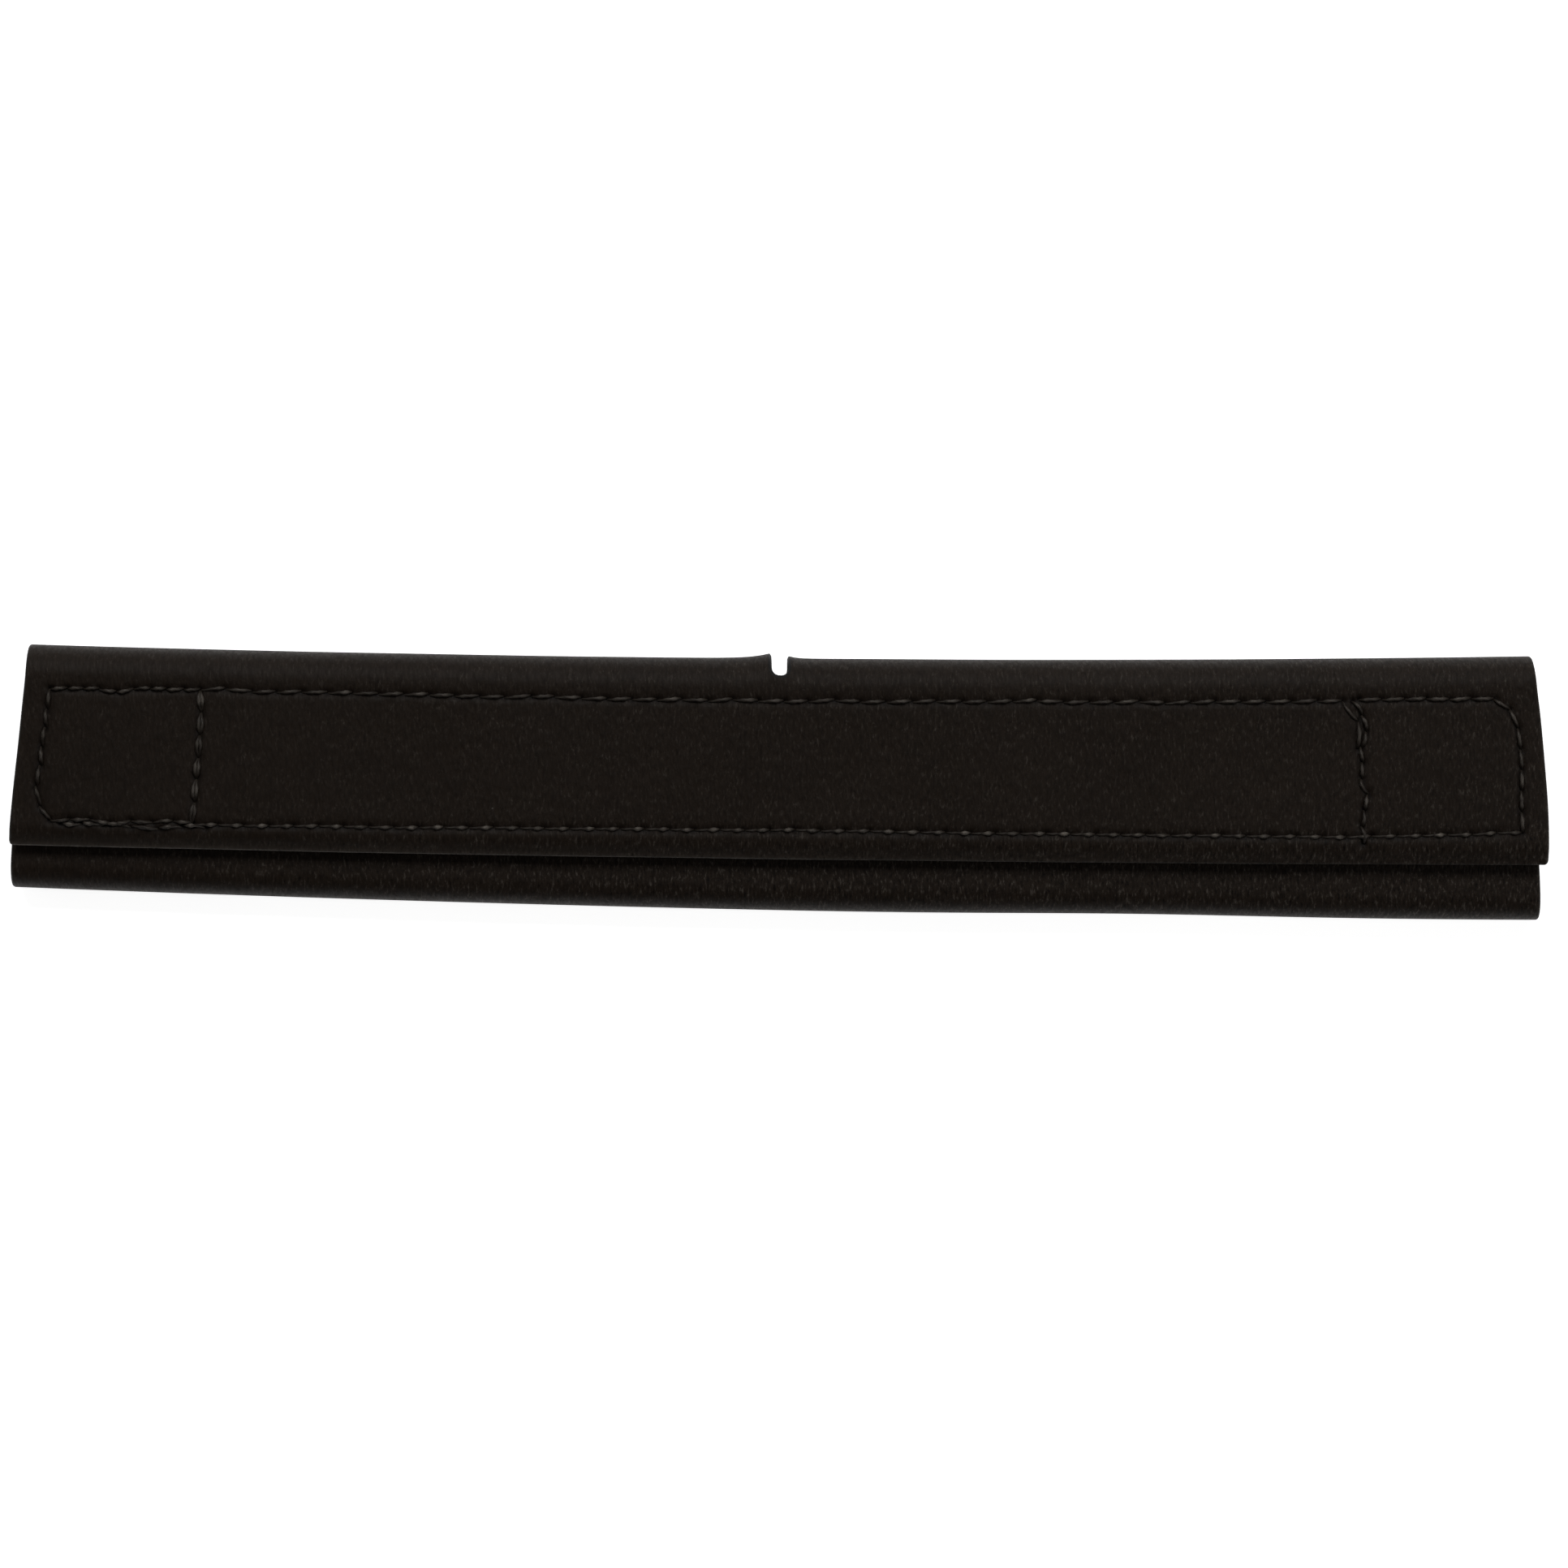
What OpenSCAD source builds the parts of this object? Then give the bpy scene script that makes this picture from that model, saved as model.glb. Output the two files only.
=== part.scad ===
// Leather wrap sleeve with a hook-and-loop closure, folded flat.
// One leather blank is folded round into a flat tube. Its long edges are the
// flap, which shows, and the lip, which lies under it. Hook tape is sewn
// inside the flap and loop tape on the lip.
// Frame: X along the sleeve, Y across it towards the top fold, Z up, with the
// origin in the middle of the back face that the sleeve rests on.

/* [Sleeve] */
// Length along the flap's free edge
flap_length = 200; // [150:1:240]
// Width of the flattened sleeve, from fold to fold
sleeve_w = 32.6; // [32:0.1:36]
// Clear height inside the closed sleeve, under the lip
hollow_h = 4.8; // [4.4:0.1:6]
// Thickness of the leather
leather_t = 1.1; // [0.9:0.1:1.4]
// Height of the flap from the top fold to its free edge
flap_h = 26.4; // [25:0.1:27]
// How far the flap's free edge droops towards the lip
edge_droop = 1.3; // [0:0.1:1.4]

/* [Ends] */
// How much shorter each end is at the top fold than at the flap's edge
fold_shortfall = 2.7; // [0:0.1:5]
// How much shorter each end is at the start of the flap
flap_shortfall = 2.0; // [0:0.1:4]
// How much shorter each end is at the bottom fold and the lip
lip_shortfall = 0.8; // [0:0.1:3]

/* [Slot] */
// Width of the relief slot in the middle of the top fold
slot_w = 2.2; // [1.5:0.1:4]
// Depth of the slot in from the top fold
slot_depth = 2.6; // [1.5:0.1:3.5]

/* [Closure] */
// Width of the hook tape inside the flap
hook_tape_w = 20; // [18:0.5:21]
// Width of the loop tape on the lip
loop_tape_w = 13; // [10:0.5:14]
// Thickness of the woven ground of both tapes
tape_t = 0.45; // [0.3:0.05:0.6]
// Height of the hooks, and of the pressed loops
pile_t = 0.5; // [0.3:0.05:0.8]
// Distance from a tape's edge to its seam
seam_inset = 1.3; // [1:0.1:2]
// Distance from the leather's end to a tape's end
tape_end_inset = 1.7; // [1:0.1:3]
// Length of the stitched box at each end of the flap
box_l = 20; // [12:0.5:30]

/* [Stitches] */
// Stitch length along the sleeve
long_pitch = 3.3; // [2.5:0.1:5]
// Stitch length across the sleeve
short_pitch = 2.9; // [2.2:0.1:4]
// Width of a stitch
thread_w = 0.55; // [0.3:0.05:0.7]
// How far a stitch stands out of the work
thread_proud = 0.3; // [0.1:0.05:0.4]

/* [Hidden] */
$fn = 48;

// Heights of the layers, from the back face up.
closing_gap = 0.05;                    // between hooks and loops, so that they part cleanly
lip_z = leather_t + hollow_h;          // underside of the lip
lip_top = lip_z + leather_t;
loop_z = lip_top + tape_t;             // underside of the loops
loop_top = loop_z + pile_t;
hook_z = loop_top + closing_gap;       // tips of the hooks
hook_tape_z = hook_z + pile_t;         // underside of the hook tape
flap_z = hook_tape_z + tape_t;         // underside of the flap
flap_top = flap_z + leather_t;

// Folds. The bottom fold is a half round; the top fold has a short wall between two quarters.
top_r = 4.1;                           // outer radius of the top fold
bottom_r = lip_top / 2;                // outer radius of the bottom fold
top_edge = sleeve_w / 2;
top_start = top_edge - top_r;          // where the top fold begins
bottom_edge = -sleeve_w / 2;
bottom_start = bottom_edge + bottom_r; // where the bottom fold begins
flap_edge = top_edge - flap_h;

// Tapes and seams across the sleeve.
hook_tape_y = top_start - hook_tape_w; // lower edge of the hook tape
flap_seams = [top_start - seam_inset, hook_tape_y + seam_inset];
tape_stagger = 0.2;                    // how far the loop tape starts above the hook tape
loop_tape_y = hook_tape_y + tape_stagger;
lip_margin = 0.8;                      // leather past the loop tape
lip_edge = loop_tape_y + loop_tape_w + lip_margin;
lip_seams = [loop_tape_y + loop_tape_w - seam_inset, loop_tape_y + seam_inset];
selvedge = 2.2;                        // plain border of a tape, with no hooks or loops
seam_end_inset = tape_end_inset + seam_inset;

// Hooks stand in ribs along the tape.
rib_pitch = 1.5;
rib_w = 0.7;
clear_of_seam = 0.8;                   // from a row of stitches to the nearest hook

// Stitches.
hole_gap = 0.5;                        // between two stitches, where the thread goes down its hole
corner_gap = 0.6;                      // from a long row to the first stitch of a row across it

half_l = flap_length / 2;
over = 1;                              // how far cutting solids reach past what they cut
overlap = 0.001;                       // between solids that are joined into one

// Half length of the flap, and of the tape and seams that follow its ends, at a place across it.
function flap_half(y) =
    half_l - flap_shortfall * (y - flap_edge) / (top_start - flap_edge);
// Half length of the back and of the bottom fold.
function back_half(y) =
    half_l - lip_shortfall
    - (flap_shortfall - lip_shortfall) * (y - bottom_edge) / (top_start - bottom_edge);
// Half length of the lip.
function lip_half(y) = half_l - lip_shortfall;

// Plan outlines, looking down. Each is symmetric about the middle of the sleeve.
module mirrored_outline(right_side) {
    left_side = [for (i = [len(right_side) - 1:-1:0]) [-right_side[i][0], right_side[i][1]]];
    polygon(concat(right_side, left_side));
}

module front_outline() {
    mirrored_outline([
        [half_l - fold_shortfall, top_edge],
        [half_l - flap_shortfall, top_start],
        [half_l, flap_edge]
    ]);
}

module back_outline() {
    mirrored_outline([
        [half_l - fold_shortfall, top_edge],
        [half_l - flap_shortfall, top_start],
        [half_l - lip_shortfall, bottom_edge]
    ]);
}

// Keeps only what lies inside an outline.
module trimmed_front() {
    intersection() {
        children();
        translate([0, 0, -over]) linear_extrude(flap_top + 2 * over) front_outline();
    }
}

module trimmed_back() {
    intersection() {
        children();
        translate([0, 0, -over]) linear_extrude(flap_top + 2 * over) back_outline();
    }
}

// A section drawn in the YZ plane, swept along the whole sleeve.
module along_sleeve(half = half_l) {
    translate([-half, 0, 0]) rotate([90, 0, 90]) linear_extrude(2 * half) children();
}

// A strip between two heights and two places across, from end to end of the sleeve.
module strip(y0, y1, z0, z1, half = half_l) {
    translate([-half, y0, z0]) cube([2 * half, y1 - y0, z1 - z0]);
}

// Section of a fold that turns round the +Y side: two quarter rounds and the wall between them.
module fold_section(outer_r, height) {
    inner_r = outer_r - leather_t;
    difference() {
        union() {
            translate([0, outer_r]) circle(outer_r);
            translate([0, height - outer_r]) circle(outer_r);
            translate([0, outer_r]) square([outer_r, height - 2 * outer_r + overlap]);
        }
        translate([0, outer_r]) circle(inner_r);
        translate([0, height - outer_r]) circle(inner_r);
        translate([0, outer_r]) square([inner_r, height - 2 * outer_r + overlap]);
        translate([-2 * outer_r, -over]) square([2 * outer_r, height + 2 * over]);
    }
}

// --- Leather ---

module back_panel() {
    color("#17140f") trimmed_back() strip(bottom_start, top_start, 0, leather_t);
}

module slot_cutter() {
    slot_end_r = slot_w / 2;
    translate([0, 0, -over]) linear_extrude(flap_top + 2 * over) {
        translate([0, top_edge - slot_depth + slot_end_r]) circle(slot_end_r);
        translate([-slot_end_r, top_edge - slot_depth + slot_end_r]) square([slot_w, slot_depth]);
    }
}

module top_fold() {
    color("#1c1813") difference() {
        trimmed_front() along_sleeve() translate([top_start, 0]) fold_section(top_r, flap_top);
        slot_cutter();
    }
}

module flap_panel() {
    droop_start = hook_tape_y;         // the free edge bends down past the tape
    color("#17140f") trimmed_front() along_sleeve() polygon([
        [top_start, flap_z],
        [top_start, flap_top],
        [droop_start + leather_t / 2, flap_top],
        [flap_edge, flap_top - edge_droop],
        [flap_edge, flap_z - edge_droop],
        [droop_start, flap_z]
    ]);
}

module bottom_fold() {
    color("#1c1813") along_sleeve(lip_half(bottom_edge)) difference() {
        translate([bottom_start, bottom_r]) circle(bottom_r);
        translate([bottom_start, bottom_r]) circle(bottom_r - leather_t);
        translate([bottom_start, -over]) square([2 * bottom_r, lip_top + 2 * over]);
    }
}

module lip_panel() {
    color("#17140f") strip(bottom_start, lip_edge, lip_z, lip_top, lip_half(lip_edge));
}

// --- Tapes ---

// A slab that keeps a fixed distance from the flap's slanted ends, from y0 to y1.
module end_following(y0, y1, inset) {
    mirrored_outline([
        [flap_half(y1) - inset, y1],
        [flap_half(y0) - inset, y0]
    ]);
}

module hook_tape() {
    color("#101010") translate([0, 0, hook_tape_z]) linear_extrude(tape_t)
        end_following(hook_tape_y, top_start, tape_end_inset);
}

// One rib of hooks, between two distances in from the flap's end. The seams part it.
module hook_rib(y, from_end, to_end) {
    outer = flap_half(y) - from_end;
    inner = flap_half(y) - to_end;
    for (x = [inner, -outer]) translate([x, y, hook_z]) cube([outer - inner, rib_w, pile_t]);
}

module hook_field() {
    first = hook_tape_y + selvedge;
    last = top_start - selvedge - rib_w;
    color("#0c0c0c") for (y = [first:rib_pitch:last]) {
        hook_rib(y, seam_end_inset + clear_of_seam, seam_end_inset + box_l - clear_of_seam);
        middle = flap_half(y) - seam_end_inset - box_l - clear_of_seam;
        translate([-middle, y, hook_z]) cube([2 * middle, rib_w, pile_t]);
    }
}

module loop_tape() {
    half = lip_half(loop_tape_y) - tape_end_inset;
    color("#101010") strip(loop_tape_y, loop_tape_y + loop_tape_w, lip_top, loop_z, half);
}

module loop_pile() {
    half = lip_half(loop_tape_y) - seam_end_inset - clear_of_seam;
    color("#0c0c0c")
        strip(loop_tape_y + selvedge, loop_tape_y + loop_tape_w - selvedge, loop_z, loop_top, half);
}

// --- Stitches ---

// One stitch along X, lying on the work, with its ends sloping down to their holes.
module stitch(pitch) {
    half = (pitch - hole_gap) / 2;
    rotate([90, 0, 0]) linear_extrude(thread_w, center = true)
        polygon([
            [-half, 0], [-half + thread_proud, thread_proud],
            [half - thread_proud, thread_proud], [half, 0]
        ]);
}

// Stitches evenly spaced from one point to another, as near to a pitch as fits.
module stitch_row(from, to, pitch, z, up = true) {
    run = to - from;
    count = round(norm(run) / pitch);
    step = norm(run) / count;
    color("#3a3733") translate([from[0], from[1], z]) rotate([0, 0, atan2(run[1], run[0])])
        for (i = [0:count - 1])
            translate([(i + 0.5) * step, 0, 0]) rotate([up ? 0 : 180, 0, 0]) stitch(step);
}

// Row along a seam, between the two end rows.
module long_row(y, half, z, up = true) {
    stitch_row([-half, y], [half, y], long_pitch, z, up);
}

// Row across, on one side, between two seams whose half lengths are given.
module cross_row(side, seams, halves, z, up = true) {
    shrink = corner_gap / (seams[0] - seams[1]);
    top = [side * halves[0], seams[0]];
    low = [side * halves[1], seams[1]];
    stitch_row(top + (low - top) * shrink, low + (top - low) * shrink, short_pitch, z, up);
}

// Half lengths of the seams' ends, upper seam first.
flap_end_halves = [for (y = flap_seams) flap_half(y) - seam_end_inset];
flap_cross_halves = [for (y = flap_seams) flap_half(y) - seam_end_inset - box_l];
lip_end_halves = [for (y = lip_seams) lip_half(y) - seam_end_inset];

module flap_long_needle_row(i) {
    long_row(flap_seams[i], flap_end_halves[i], flap_top);
}

module lip_long_needle_row(i) {
    long_row(lip_seams[i], lip_end_halves[i], loop_z);
}

module flap_long_bobbin_stitches() {
    for (i = [0, 1]) long_row(flap_seams[i], flap_end_halves[i], hook_tape_z, false);
}

module flap_short_bobbin_stitches() {
    for (side = [-1, 1], halves = [flap_end_halves, flap_cross_halves])
        cross_row(side, flap_seams, halves, hook_tape_z, false);
}

module lip_bobbin_stitches() {
    for (i = [0, 1]) long_row(lip_seams[i], lip_end_halves[i], lip_z, false);
    for (side = [-1, 1]) cross_row(side, lip_seams, lip_end_halves, lip_z, false);
}

back_panel();
top_fold();
flap_panel();
bottom_fold();
lip_panel();
hook_tape();
hook_field();
loop_tape();
loop_pile();
flap_long_needle_row(0);  // flap_upper_stitches
flap_long_needle_row(1);  // flap_lower_stitches
cross_row(-1, flap_seams, flap_end_halves, flap_top);  // flap_left_end_stitches
cross_row(1, flap_seams, flap_end_halves, flap_top);  // flap_right_end_stitches
cross_row(-1, flap_seams, flap_cross_halves, flap_top);  // flap_left_cross_stitches
cross_row(1, flap_seams, flap_cross_halves, flap_top);  // flap_right_cross_stitches
flap_long_bobbin_stitches();
flap_short_bobbin_stitches();
lip_long_needle_row(0);  // lip_upper_stitches
lip_long_needle_row(1);  // lip_lower_stitches
cross_row(-1, lip_seams, lip_end_halves, loop_z);  // lip_left_end_stitches
cross_row(1, lip_seams, lip_end_halves, loop_z);  // lip_right_end_stitches
lip_bobbin_stitches();
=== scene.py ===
"""A leather wrap sleeve with a hook-and-loop closure, lying folded flat.

The leather is one blank folded round into a flat tube. Everything on it is laid out in blank
coordinates: x along the sleeve, s across the blank from the lip's edge round to the flap's, and a
height out from the middle of the leather, all in millimetres. Blank turns those into the frame's
metres, so the leather, the tapes and the stitches share one shape.
"""

import logging
import math
from collections.abc import Callable, Sequence
from dataclasses import dataclass, field
from enum import Enum
from typing import Any, ClassVar

import bmesh
import bpy
import numpy as np
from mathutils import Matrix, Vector


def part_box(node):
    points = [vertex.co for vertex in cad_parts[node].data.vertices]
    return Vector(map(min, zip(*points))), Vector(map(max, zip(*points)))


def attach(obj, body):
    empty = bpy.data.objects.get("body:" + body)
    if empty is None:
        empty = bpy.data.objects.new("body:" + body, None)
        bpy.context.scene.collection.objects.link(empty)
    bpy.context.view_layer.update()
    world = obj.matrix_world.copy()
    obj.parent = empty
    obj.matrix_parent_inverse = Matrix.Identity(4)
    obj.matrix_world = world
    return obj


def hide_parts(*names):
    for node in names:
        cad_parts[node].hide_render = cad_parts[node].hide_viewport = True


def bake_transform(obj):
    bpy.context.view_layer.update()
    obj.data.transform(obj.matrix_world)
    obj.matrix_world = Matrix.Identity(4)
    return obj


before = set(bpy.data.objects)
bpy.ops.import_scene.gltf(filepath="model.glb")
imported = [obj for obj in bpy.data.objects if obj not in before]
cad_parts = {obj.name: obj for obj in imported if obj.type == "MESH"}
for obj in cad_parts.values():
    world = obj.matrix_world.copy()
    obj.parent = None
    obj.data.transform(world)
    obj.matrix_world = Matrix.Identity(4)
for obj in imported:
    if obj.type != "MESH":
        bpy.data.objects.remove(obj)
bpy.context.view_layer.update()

MM = 0.001  # one millimetre, in metres
UV_SPAN = 100.0  # millimetres of blank to one unit of the UV map
HALF_BLANK = 100  # half length of the blank as it is cut, in millimetres
SEAM_COLUMNS = (74, 77.6, 94, 98)  # where the cross rows and the end rows of stitches lie

log = logging.getLogger("sleeve")


class Body(Enum):
    """The moving bodies that pieces ride on."""

    BACK = "back"
    UPPER_FOLD = "upper_fold"
    FLAP = "flap"
    LOWER_FOLD = "lower_fold"
    LIP = "lip"


class Face(Enum):
    """The two faces of the leather, as the sign of a height from its middle."""

    GRAIN = 1
    FLESH = -1


# --- Shape of the folded blank ---


class Profile:
    """A smooth curve through a few points, level past its ends."""

    def __init__(self, *points: tuple[float, float]) -> None:
        """Stores the points, in order of place.

        Args:
            points: Pairs of place and value.
        """
        self.places = np.array([p[0] for p in points], float)
        self.values = np.array([p[1] for p in points], float)
        self.slopes = np.gradient(self.values, self.places) if len(points) > 1 else np.zeros(1)

    def __call__(self, place: np.ndarray | float) -> np.ndarray:
        """Value of the curve.

        Args:
            place: Where to read it, one number or many.

        Returns:
            The value at each place.
        """
        where = np.clip(np.asarray(place, float), self.places[0], self.places[-1])
        if len(self.places) == 1:
            return np.full_like(where, self.values[0])
        i = np.clip(np.searchsorted(self.places, where) - 1, 0, len(self.places) - 2)
        span = self.places[i + 1] - self.places[i]
        t = (where - self.places[i]) / span
        start, end = self.values[i], self.values[i + 1]
        rise, run_out = self.slopes[i] * span, self.slopes[i + 1] * span
        return (
            start * (1 + 2 * t) * (1 - t) ** 2
            + rise * t * (1 - t) ** 2
            + end * t * t * (3 - 2 * t)
            + run_out * t * t * (t - 1)
        )


@dataclass(frozen=True)
class Layout:
    """Sizes of the folded sleeve in millimetres, read from the frame."""

    half_l: float
    leather_t: float
    top_start: float
    top_edge: float
    flap_top: float
    flap_edge: float
    bottom_edge: float
    lip_top: float
    lip_edge: float
    hook_tape: tuple[float, float]
    hook_tape_t: float
    hook_h: float
    loop_tape: tuple[float, float]
    loop_tape_t: float
    loop_h: float

    @classmethod
    def from_frame(cls) -> "Layout":
        """Reads the sizes off the CAD nodes' boxes."""

        def box(node: str) -> tuple[Vector, Vector]:
            """Lowest and highest corner of a node, in millimetres."""
            low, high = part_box(node)
            return low / MM, high / MM

        back, flap, lip = box("back_panel"), box("flap_panel"), box("lip_panel")
        top, bottom = box("top_fold"), box("bottom_fold")
        hooks, loops = box("hook_tape"), box("loop_tape")
        hook_field, pile = box("hook_field"), box("loop_pile")
        return cls(
            half_l=flap[1].x,
            leather_t=back[1].z,
            top_start=top[0].y,
            top_edge=top[1].y,
            flap_top=top[1].z,
            flap_edge=flap[0].y,
            bottom_edge=bottom[0].y,
            lip_top=lip[1].z,
            lip_edge=lip[1].y,
            hook_tape=(hooks[0].y, hooks[1].y),
            hook_tape_t=hooks[1].z - hooks[0].z,
            hook_h=hook_field[1].z - hook_field[0].z,
            loop_tape=(loops[0].y, loops[1].y),
            loop_tape_t=loops[1].z - loops[0].z,
            loop_h=pile[1].z - pile[0].z,
        )


class Section:
    """Middle line of the leather across the sleeve, made of straights and bends."""

    STEP = 0.05

    def __init__(
        self, start: tuple[float, float], heading: float, steps: Sequence[tuple[float, float]]
    ) -> None:
        """Walks the line and keeps a table of it.

        Args:
            start: First point, as y and z.
            heading: First direction, in radians from +y towards +z.
            steps: Length of each straight or bend, and how far it turns to the left.
        """
        rows = [(0.0, start[0], start[1], heading)]
        for length, turn in steps:
            s0, y0, z0, h0 = rows[-1]
            for part in np.linspace(0, 1, max(2, int(length / self.STEP)))[1:]:
                along, h = length * part, h0 + turn * part
                if abs(turn) < 1e-9:
                    y, z = y0 + along * math.cos(h0), z0 + along * math.sin(h0)
                else:
                    r = length / turn
                    y = y0 + r * (math.sin(h) - math.sin(h0))
                    z = z0 - r * (math.cos(h) - math.cos(h0))
                rows.append((s0 + along, y, z, h))
        self.table = np.array(rows).T

    def walk(self, s: np.ndarray) -> tuple[np.ndarray, np.ndarray, np.ndarray]:
        """Places on the line.

        Args:
            s: Distances from the start.

        Returns:
            The y, the z and the heading at each.
        """
        places, *columns = self.table
        y, z, heading = (np.interp(s, places, column) for column in columns)
        return y, z, heading


@dataclass(frozen=True)
class Slot:
    """The relief slot across the middle of the top fold, a rounded rectangle on the blank."""

    centre: tuple[float, float]
    half_w: float = 1.05
    half_l: float = 4.8
    corner: float = 0.9
    flare: tuple[float, float] = (0.75, 0.4)
    flare_reach: tuple[float, float] = (2.2, 0.9)

    def offset(self, x: np.ndarray, s: np.ndarray) -> np.ndarray:
        """Distance outside the slot's outline, negative inside it."""
        qx = np.abs(x - self.centre[0]) - (self.half_w - self.corner)
        qs = np.abs(s - self.centre[1]) - (self.half_l - self.corner)
        outside = np.hypot(np.maximum(qx, 0), np.maximum(qs, 0))
        return outside + np.minimum(np.maximum(qx, qs), 0) - self.corner

    def onto_outline(self, x: float, s: float) -> tuple[float, float]:
        """Nearest point of the outline.

        Args:
            x: Place along the sleeve.
            s: Place across the blank.

        Returns:
            The x and s of the outline there.
        """
        dx, ds = x - self.centre[0], s - self.centre[1]
        qx = abs(dx) - (self.half_w - self.corner)
        qs = abs(ds) - (self.half_l - self.corner)
        if qx > 0 and qs > 0:
            reach = math.hypot(qx, qs)
            qx, qs = qx / reach * self.corner, qs / reach * self.corner
        elif qx > qs:
            qx = self.corner
        else:
            qs = self.corner
        return (
            self.centre[0] + math.copysign(qx + self.half_w - self.corner, dx),
            self.centre[1] + math.copysign(qs + self.half_l - self.corner, ds),
        )

    def lift(self, x: np.ndarray, s: np.ndarray) -> np.ndarray:
        """How far the leather beside the slot curls out, more on its left than on its right."""
        away = np.maximum(self.offset(x, s), 0)
        along = np.clip(1.25 - np.abs(s - self.centre[1]) / self.half_l, 0, 1)
        right = 0.5 + 0.5 * np.tanh((x - self.centre[0]) / 0.8)
        left_curl, right_curl = (
            flare * np.exp(-away / reach) for flare, reach in zip(self.flare, self.flare_reach)
        )
        return (left_curl + (right_curl - left_curl) * right) * np.sin(along * math.pi / 2)


class Blank:
    """The leather blank and how it is folded, with the slight bends of a real sleeve."""

    MIDDLE_STRAIGHT = 0.3  # straight stretch half way round the bottom fold, where pieces meet
    DROOP = ((1.3, 0.55), (0.8, 0.0), (1.0, -0.25))  # the flap's edge, as lengths and turns
    DROOP_REACH = 2.95  # how far the drooping edge reaches across
    SAG, SAG_LESS, SAG_LESS_AT, SAG_LESS_W = 0.33, 0.3, 47, 24  # how the lip bows outwards

    def __init__(self, layout: Layout) -> None:
        """Lays the blank out round the sleeve.

        Args:
            layout: The sizes of the folded sleeve.
        """
        self.layout = layout
        half_t = layout.leather_t / 2
        bottom_r = (layout.lip_top - layout.leather_t - self.MIDDLE_STRAIGHT) / 2
        bottom_y = layout.bottom_edge + half_t + bottom_r
        top_r = layout.top_edge - layout.top_start - half_t
        wall = layout.flap_top - layout.leather_t - 2 * top_r
        quarter = math.pi / 2
        flap_straight = layout.top_start - layout.flap_edge - self.DROOP_REACH
        steps = (
            (layout.lip_edge - bottom_y, 0.0),
            (bottom_r * quarter, quarter),
            (self.MIDDLE_STRAIGHT, 0.0),
            (bottom_r * quarter, quarter),
            (layout.top_start - bottom_y, 0.0),
            (top_r * quarter, quarter),
            (wall, 0.0),
            (top_r * quarter, quarter),
            (flap_straight, 0.0),
            *self.DROOP,
        )
        self.section = Section((layout.lip_edge, layout.lip_top - half_t), math.pi, steps)
        ends = np.cumsum([0.0, *(length for length, _ in steps)])
        self.lip_end, self.bottom_middle, self.back_low = (
            float(ends[1]),
            float(ends[2] + self.MIDDLE_STRAIGHT / 2),
            float(ends[4]),
        )
        self.back_high, self.flap_start = float(ends[5]), float(ends[8])
        self.top_middle = float(ends[6] + wall / 2)
        self.back_middle = self.back_low - bottom_y
        self.edge = float(ends[-1])
        self.bottom_arc = (bottom_y, bottom_r)
        self.top_arc = (layout.top_start, top_r)
        self.half_t = half_t
        self.slot = Slot((-0.1, self.top_middle))

        tops = (self.back_high, self.top_middle, self.flap_start)
        self.half_length = Profile(
            (0, 98.2), (self.lip_end, 99.75), (self.bottom_middle, 99.85), (self.back_low, 99.8),
            (tops[0], 98.1), (tops[1], 97.95), (tops[2], 98.2), (self.flap_s(9), 98.56),
            (self.flap_s(3), 99.17), (self.flap_s(-3), 99.74), (self.edge, 100.15),
        )
        self.shift = Profile(
            (0, -0.26), (self.back_low, -0.26), (tops[0], -0.03), (tops[1], 0.0), (tops[2], 0.2),
            (self.flap_s(3), 0.29), (self.flap_s(-3), 0.25), (self.edge, 0.07),
        )
        self.loose_across = Profile(
            (0, 1.0), (self.bottom_middle, 1.0), (self.back_low, 0.4), (tops[0], 0.4),
            (self.flap_s(9), 0.6), (self.flap_s(-5), 0.7), (self.flap_s(-8), 1.0), (self.edge, 1.0),
        )
        # rises to the right: more open grain, and more painted glint where the light falls from the
        # right
        self.grain_and_glint_along = Profile((-100, 0.3), (-30, 0.65), (30, 0.8), (100, 1.0))
        # how strongly and how wide the cut edges are painted pale, most at the left and fading to the
        # right
        self.edge_paleness = Profile((-100, 1.0), (-40, 0.75), (20, 0.5), (60, 0.25), (100, 0.1))
        self.bow = Profile((0, 0.9), (self.back_low, 0.9), (tops[1], 1.12), (self.edge, 0.56))
        self.taper = Profile(
            (0, 1.13), (self.back_low, 1.13), (self.back_middle, 0.6), (tops[0], -0.1),
            (tops[2], -0.1), (self.edge, 0.36),
        )
        self.belly = Profile(
            (0, 1.0), (self.back_low, 1.0), (self.back_middle, 0.4), (tops[0], 0.0), (self.edge, 0.0)
        )

    def flap_s(self, y: float) -> float:
        """Place across the blank of a place across the flap."""
        return self.flap_start + self.layout.top_start - y

    def lip_s(self, y: float) -> float:
        """Place across the blank of a place across the lip."""
        return self.layout.lip_edge - y

    def open_grain_and_glint(self, x: np.ndarray, s: np.ndarray) -> np.ndarray:
        """How open the grain is, from 0 to 1: most at the lip, and rising to the right, where its pale
        flecks are also painted glint.
        """
        return self.loose_across(s) * self.grain_and_glint_along(x)

    def ripple(self, x: np.ndarray, s: np.ndarray) -> np.ndarray:
        """Slow waves in the flap and the lip, which never lie quite flat."""
        wave = (
            0.050 * np.sin(x / 8.3 + 1.1) * np.cos(s / 5.1 + 0.4)
            + 0.035 * np.sin(x / 4.7 - s / 7.7)
            + 0.045 * np.sin(x / 19.0 + s / 11.0 + 2.0)
        )
        on_flap = np.clip((s - self.top_middle) / 6, 0, 1)
        on_lip = np.clip((self.lip_end - s) / 6, 0, 1)
        return wave * np.maximum(on_flap, 0.6 * on_lip)

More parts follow.
